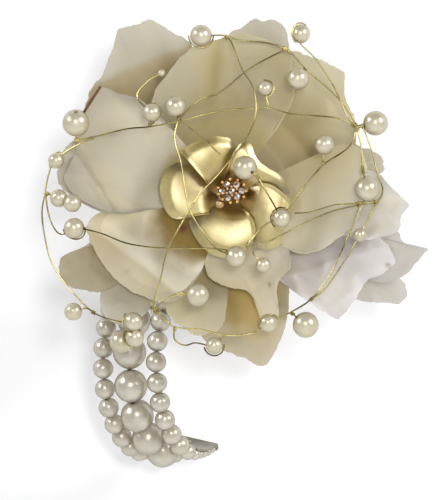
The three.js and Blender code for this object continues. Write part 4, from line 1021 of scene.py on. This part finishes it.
# Each length of wire has its routes from the front, in millimetres, and the place and size of its pearls.
GARLAND = {
    "left": {"layer": 0,
        "routes": [
            [(-44, 15.5), (-39, 16.4), (-29, 18.7), (-22.5, 19.3), (-14.4, 20.8), (-1.7, 23.9), (7.5, 24.5),
             (11.5, 24.8), (18, 23.1), (31, 21.9), (36.5, 19.5)],
            [(-39, 16.4), (-48.5, 11.3), (-51.5, 7.5), (-53, 0.5), (-54, -6), (-52.5, -16), (-50, -22),
             (-44, -29.5), (-38.5, -34.5), (-31, -36.8), (-27.4, -36.8), (-27, -41.4)],
            [(-53, 0.5), (-51.5, -7.5), (-48.5, -11.5), (-44.5, -9.8), (-37, -11.2), (-29.7, -14),
             (-22.5, -15.2), (-16, -15.5), (-1, -16.1), (2.3, -18)],
            [(-53, 0.5), (-49, -1.1), (-45, -2.6)],
            [(-22.5, 19.3), (-21.9, 23.4)],
            [(11.5, 24.8), (10.6, 30.3)],
            [(-38.5, -34.5), (-41, -33), (-45, -34)],
            [(-21.9, 23.4), (-26.2, 28.2), (-22.7, 32.9), (-19.8, 34.6), (-18.4, 35.8)],
        ],
        "pearls": [(-21.9, 23.4, 5.5), (10.6, 30.3, 4.2), (-49.8, 9.8, 4.6), (-49, -1.1, 5.2),
                   (-45, -2.6, 5.2), (-44.5, -9.8, 6), (2.3, -18, 6), (-45, -34, 5.2), (-27.4, -36.8, 5.5),
                   (-27, -41.4, 5.5), (-19.2, 34.9, 2)]},
    "top": {"layer": 1,
        "routes": [
            [(-7.8, 45.8), (-0.9, 45.8), (3.4, 44.4), (10.6, 43.8), (17, 42)],
            [(-0.9, 45.8), (0.8, 44.1), (4.3, 35.5), (6.9, 31.4), (8, 26.5), (7.8, 22.2), (5.2, 15.9),
             (2, 11.3), (-3.8, 4.6), (-8.1, -0.3), (-12.4, -6.9), (-17.3, -16.1), (-19.6, -24.7),
             (-21.9, -32.5)],
            [(17, 42), (6.3, 36.3), (-2.3, 29.1), (-8.1, 27.1), (-14.4, 21.3)],
            [(-15, 25.1), (-14.4, 21.3), (-15.3, 15.6), (-13.8, 9.8), (-12.4, 2.6), (-11, -4.6),
             (-6.6, -11.8), (-2.9, -16), (0.5, -17.3)],
            [(-14.4, 21.3), (-8.1, 16.4), (-2.3, 11.3)],
        ],
        "pearls": [(-7.8, 45.8, 6.3), (-15, 25.1, 6)]},
    "right": {"layer": 2,
        "routes": [
            [(21, 46.4), (20.1, 44.4), (25, 39.2), (29.4, 32.9), (31.7, 28.5), (34.5, 21.9), (37.1, 19.3)],
            [(17.3, 41.5), (22.2, 36.3), (30.8, 28.5), (35, 23.5), (37.1, 19.3)],
            [(37.1, 19.3), (35.1, 14.1), (27.3, 8.4), (23.6, 4.1), (18, -2.6), (15.2, -7)],
            [(15.2, -7), (10.6, 1.2), (8.2, 5.2)],
            [(15.2, -7), (10.6, -8.9), (5, -15)],
            [(37.1, 19.3), (38.3, 14.1), (38.8, 7)],
            [(27.3, 8.4), (27.6, 14.1)],
            [(22.2, 36.3), (20.1, 33.1)],
        ],
        "pearls": [(21, 46.4, 5.5), (27.6, 14.1, 5.5), (20.1, 33.1, 6.3), (15.2, -7, 5.2)]},
    "bottom": {"layer": 1,
        "routes": [
            [(38.6, 20.2), (41.5, 12.7), (43.4, 4.6), (44.5, 1.2), (43.2, -2), (38, -2.6)],
            [(38, -2.6), (30.8, -3.1), (23.6, -5.2), (19, -5.6)],
            [(43.2, -2), (30.8, -4.7), (22.2, -8.3), (12.7, -13.2), (7, -16), (10.1, -20.4)],
            [(38, -2.6), (35.7, -9.8), (32.2, -17.5), (29.4, -23.3), (23.6, -30.5), (18, -34),
             (11.5, -37.1), (7.8, -40), (-1, -40.6), (-8, -39.1), (-15.3, -38.3), (-18.5, -36),
             (-21, -33.4)],
            [(43.2, -2), (38, -11.8), (33.7, -19), (28, -27.3), (23.6, -30.5)],
            [(-15.3, -38.3), (-15.3, -42), (-12.4, -43.7), (-9.5, -43), (-4, -43.7), (-1, -40.6)],
            [(-21, -33.4), (-18.2, -30.2), (-13.4, -28.6)],
        ],
        "pearls": [(10.1, -20.4, 4.3), (38, -11.8, 4), (11.5, -37.1, 5.2), (-4, -43.7, 4.9)]},
}
FREE_ENDS = [(-2.3, 11.3), (19, -5.6)]
# Each hanging pearl has its wire, where it starts from, its place, its size and how far it hangs down.
HANGING_PEARLS = [
    ("left", (-44, 15.5), (-43.8, 20.5), 7.8, -4.5),
    ("right", (37.1, 19.3), (42.6, 20.5), 7.2, 0),
    ("right", (8.2, 5.2), (4.9, 7.5), 6.9, 4),
    ("right", (38.8, 7), (40, 1.5), 7.2, 1),
    ("bottom", (-13.4, -28.6), (-8.7, -29), 6.6, 0),
    ("bottom", (18, -34), (22.4, -37.7), 7.5, 0),
    ("left", (-27, -41.4), (-31.2, -42.8), 6.9, 5),
]
WIRE_STEP = 0.8 * MM
WIRE_KINK = 0.25 * MM
KINK_FREE = 5


def on_cage(x, y, layer, drop=0):
    """A point of the cage over the bloom, in the frame, from its place as seen from the front."""
    rise = CAGE_RISE * (1 - (x * x + y * y) / CAGE_REACH ** 2)
    return seat + Vector((x, y, cage_rim + rise + layer * WIRE_LAYER - drop)) * MM


def hand_bent(stops):
    """A smooth wire through the stops, with the small kinks that fingers leave in it."""
    length = sum((end - start).length for start, end in zip(stops, stops[1:]))
    count = max(6, round(length / WIRE_STEP))
    line = smooth_line(stops, count)
    bent = []
    for i, point in enumerate(line):
        slack = min(i, count - i, KINK_FREE) / KINK_FREE
        bent.append(point + slack * WIRE_KINK * noise.noise_vector(point * 90))
    return bent


COIL_TURNS = 3
COIL_SIDES = 12
COIL_RADIUS = 0.36 * MM
COIL_PITCH = 0.4 * MM
TURN_STEPS = 16


def winding(start, ahead):
    """A few turns of wire wound round another wire, from a point along a direction."""
    ahead = ahead.normalized()
    side = ahead.orthogonal().normalized()
    coil = []
    for i in range(COIL_TURNS * COIL_SIDES + 1):
        spoke = Matrix.Rotation(2 * math.pi * i / COIL_SIDES, 3, ahead) @ side
        coil.append(start + ahead * COIL_PITCH * i / COIL_SIDES + spoke * COIL_RADIUS)
    return coil


def half_turn(centre, along, radius):
    """A half turn of wire round the outside of a pearl, from one end of its hole to the other."""
    along = along.normalized()
    side = along.cross(Vector((0, 0, 1))).normalized()
    side.rotate(Matrix.Rotation(2.5 * noise.noise(centre * 900), 3, along))
    turns = [math.pi * i / TURN_STEPS for i in range(TURN_STEPS + 1)]
    return [centre + radius * (along * math.cos(turn) + side * math.sin(turn)) for turn in turns]


gold_wire = plain_finish(
    "gold wire", paint(232, 219, 150), paint(104, 90, 46), patch=70, pit=3000, depth=0.02 * MM,
    sockets={"Metallic": 1, "Roughness": 0.26},
)
# The third colour is the pearls' painted rim shade.
garland_nacre = nacre("pearl coat", paint(218, 210, 188), paint(204, 195, 168), paint(160, 148, 114), 0.42)
# The top wire's tail goes down past the petals and is tucked in beside the ties.
TAIL_BEND = Vector((-22, -34.4, 0)) * MM
TAIL_DIP = 6 * MM
TAIL_FALL = 22 * MM
TAIL_OFF_CUFF = 7.65 * MM
TAIL_ALONG = 4 * MM
TAIL_ACROSS = 4.6 * MM
tail_start = on_cage(-21.9, -32.5, 1)
tail_bend = seat + TAIL_BEND
tail_bend.z = tail_start.z - TAIL_DIP
plate_along = cuff_near * math.cos(PLATE_ANGLE) - cuff_up * math.sin(PLATE_ANGLE)
tail_end = plate_out * (CUFF_RADIUS + TAIL_OFF_CUFF) + plate_along * TAIL_ALONG + cuff_axis * TAIL_ACROSS
tail_stops = [tail_start, tail_bend, tail_bend - Vector((0, 0, TAIL_FALL)), tail_end]
for name, garland in GARLAND.items():
    layer = garland["layer"]
    runs = []
    for route in garland["routes"]:
        runs.append(hand_bent([on_cage(x, y, layer) for x, y in route]))
    for carrier, start, end, size, drop in HANGING_PEARLS:
        if carrier == name:
            runs.append([on_cage(*start, layer), on_cage(*end, layer, drop)])
    if name == "top":
        runs.append(hand_bent(tail_stops))
    coils = [winding(run[0], run[min(4, len(run) - 1)] - run[0]) for run in runs]
    free = [on_cage(x, y, layer) for x, y in FREE_ENDS]
    tied = [run for run in runs if min((run[-1] - end).length for end in free) > 0.1 * MM]
    coils += [winding(run[-1], run[max(-5, -len(run))] - run[-1]) for run in tied]
    beads = []
    points = [(point, run[min(i + 1, len(run) - 1)] - run[max(i - 1, 0)])
              for run in runs for i, point in enumerate(run)]
    for x, y, size in garland["pearls"]:
        centre = on_cage(x, y, layer)
        along = min(points, key=lambda found: (found[0] - centre).length)[1]
        beads.append(pearl(size * MM, centre, along))
        if noise.noise(centre * 700) > 0:
            coils.append(half_turn(centre, along, size / 2 * MM + GARLAND_WIRE))
    settle(wires(runs + coils, GARLAND_WIRE), [gold_wire], f"garland_wire_{name}")
    bpy.context.object.name = f"garland_wire_{name}_fine"
    small_pearls = joined(f"garland_pearls_{name}", beads)
    settle(small_pearls, [garland_nacre], f"garland_wire_{name}", stands_for=False)
for i, (carrier, start, end, size, drop) in enumerate(HANGING_PEARLS):
    layer = GARLAND[carrier]["layer"]
    centre = on_cage(*end, layer, drop)
    ball = pearl(size * MM, centre, centre - on_cage(*start, layer))
    ball.name = f"hanging_pearl_{i + 1}_fine"
    settle(ball, [garland_nacre], f"hanging_pearl_{i + 1}")

bark = plain_finish(
    "bark", paint(128, 78, 44), paint(84, 46, 24), patch=400, pit=3000, depth=0.1 * MM,
    sockets={"Roughness": 0.6},
)
STUB_ROUTE = ((-42.3, 22.9), (-41, 24.9), (-36.9, 31.3))
STUB_WIRE = 0.8 * MM
stub = wires([hand_bent([on_cage(x, y, 0) for x, y in STUB_ROUTE])], STUB_WIRE)
stub.name = "garland_stub"
settle(stub, [bark], "garland_wire_left", stands_for=False)

# Studio: a pale table under a soft lamp at the right, a weaker one at the left, a broad one in front and a
# small one overhead. A soft box above is seen only in the gold and the pearls, and the room is lit from the
# foot of the picture.
TABLE_GAP = 0.4 * MM
TABLE_LIFT = 0.05
bpy.ops.mesh.primitive_plane_add(size=8, location=(0, 0, cad_low.z - TABLE_GAP))
table = bpy.context.object
table.name = "table"
table_top, tree, shader = new_finish("table top", {"Base Color": paint(251, 251, 253), "Roughness": 0.9})
rays = add_node(tree, "ShaderNodeLightPath").outputs
seen = calculated(tree, "MAXIMUM", rays["Is Camera Ray"], rays["Is Glossy Ray"])
lift = calculated(tree, "MULTIPLY", seen, TABLE_LIFT)
white = add_node(tree, "ShaderNodeEmission", {"Color": (1, 1, 1, 1), "Strength": lift}).outputs["Emission"]
lifted = add_node(tree, "ShaderNodeAddShader", {0: shader.outputs["BSDF"], 1: white})
tree.links.new(lifted.outputs["Shader"], tree.nodes["Material Output"].inputs["Surface"])
table.data.materials.append(table_top)
table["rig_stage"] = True

# Each lamp has its way from the brooch in metres, its width, its power in watts, whether it lights the object
# and whether it shows in what is glossy.
LAMPS = {
    "key": ((0.76, 0.42, 0.56), 0.5, 5.5, True, True),
    "fill": ((-0.83, 0.48, 0.32), 0.34, 4, True, True),
    "front": ((0.05, -0.8, 0.62), 1.7, 6, True, False),
    "overhead": ((0.08, 0.065, 1), 0.12, 3.4, True, False),
    "soft box": ((-0.02, 0.2, 1), 0.42, 2.6, False, True),
}
for lamp_name, (way, size, power, lighting, mirrored) in LAMPS.items():
    bpy.ops.object.light_add(type="AREA", location=seat + Vector(way))
    lamp = bpy.context.object
    lamp.name = lamp_name
    lamp.rotation_euler = Vector(way).to_track_quat("Z", "Y").to_euler()
    lamp.data.shape = "DISK"
    lamp.data.size = size
    lamp.data.energy = power
    lamp.visible_diffuse = lighting
    lamp.visible_glossy = mirrored
world = bpy.data.worlds.new("studio")
world.use_nodes = True
bpy.context.scene.world = world
tree = world.node_tree
back = add_node(tree, "ShaderNodeNewGeometry").outputs["Incoming"]
to_foot = add_node(tree, "ShaderNodeSeparateXYZ", {"Vector": back}).outputs["Y"]
rays = add_node(tree, "ShaderNodeLightPath").outputs
brightest = ramp(tree, rays["Is Glossy Ray"], 0, 1, 0.42, 0.9)
room = ramp(tree, to_foot, -0.5, 0.8, 0.1, brightest, smooth=True)
level = ramp(tree, rays["Is Camera Ray"], 0, 1, room, 1)
tree.nodes["Background"].inputs["Color"].default_value = (1, 1, 1, 1)
tree.links.new(level, tree.nodes["Background"].inputs["Strength"])

CAMERA_HEIGHT = 0.9
PICTURE = (445, 500)
PIXEL = 0.293 * MM
FRAME_MIDDLE = Vector((-1.6, -16.1, 0)) * MM
bpy.ops.object.camera_add(location=seat + FRAME_MIDDLE + Vector((0, 0, CAMERA_HEIGHT)))
camera = bpy.context.object
camera.data.sensor_fit = "VERTICAL"
camera.data.lens = camera.data.sensor_height * CAMERA_HEIGHT / (PICTURE[1] * PIXEL)
scene = bpy.context.scene
scene.camera = camera
scene.render.resolution_x, scene.render.resolution_y = PICTURE
scene.view_settings.view_transform = "Standard"

low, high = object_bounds()
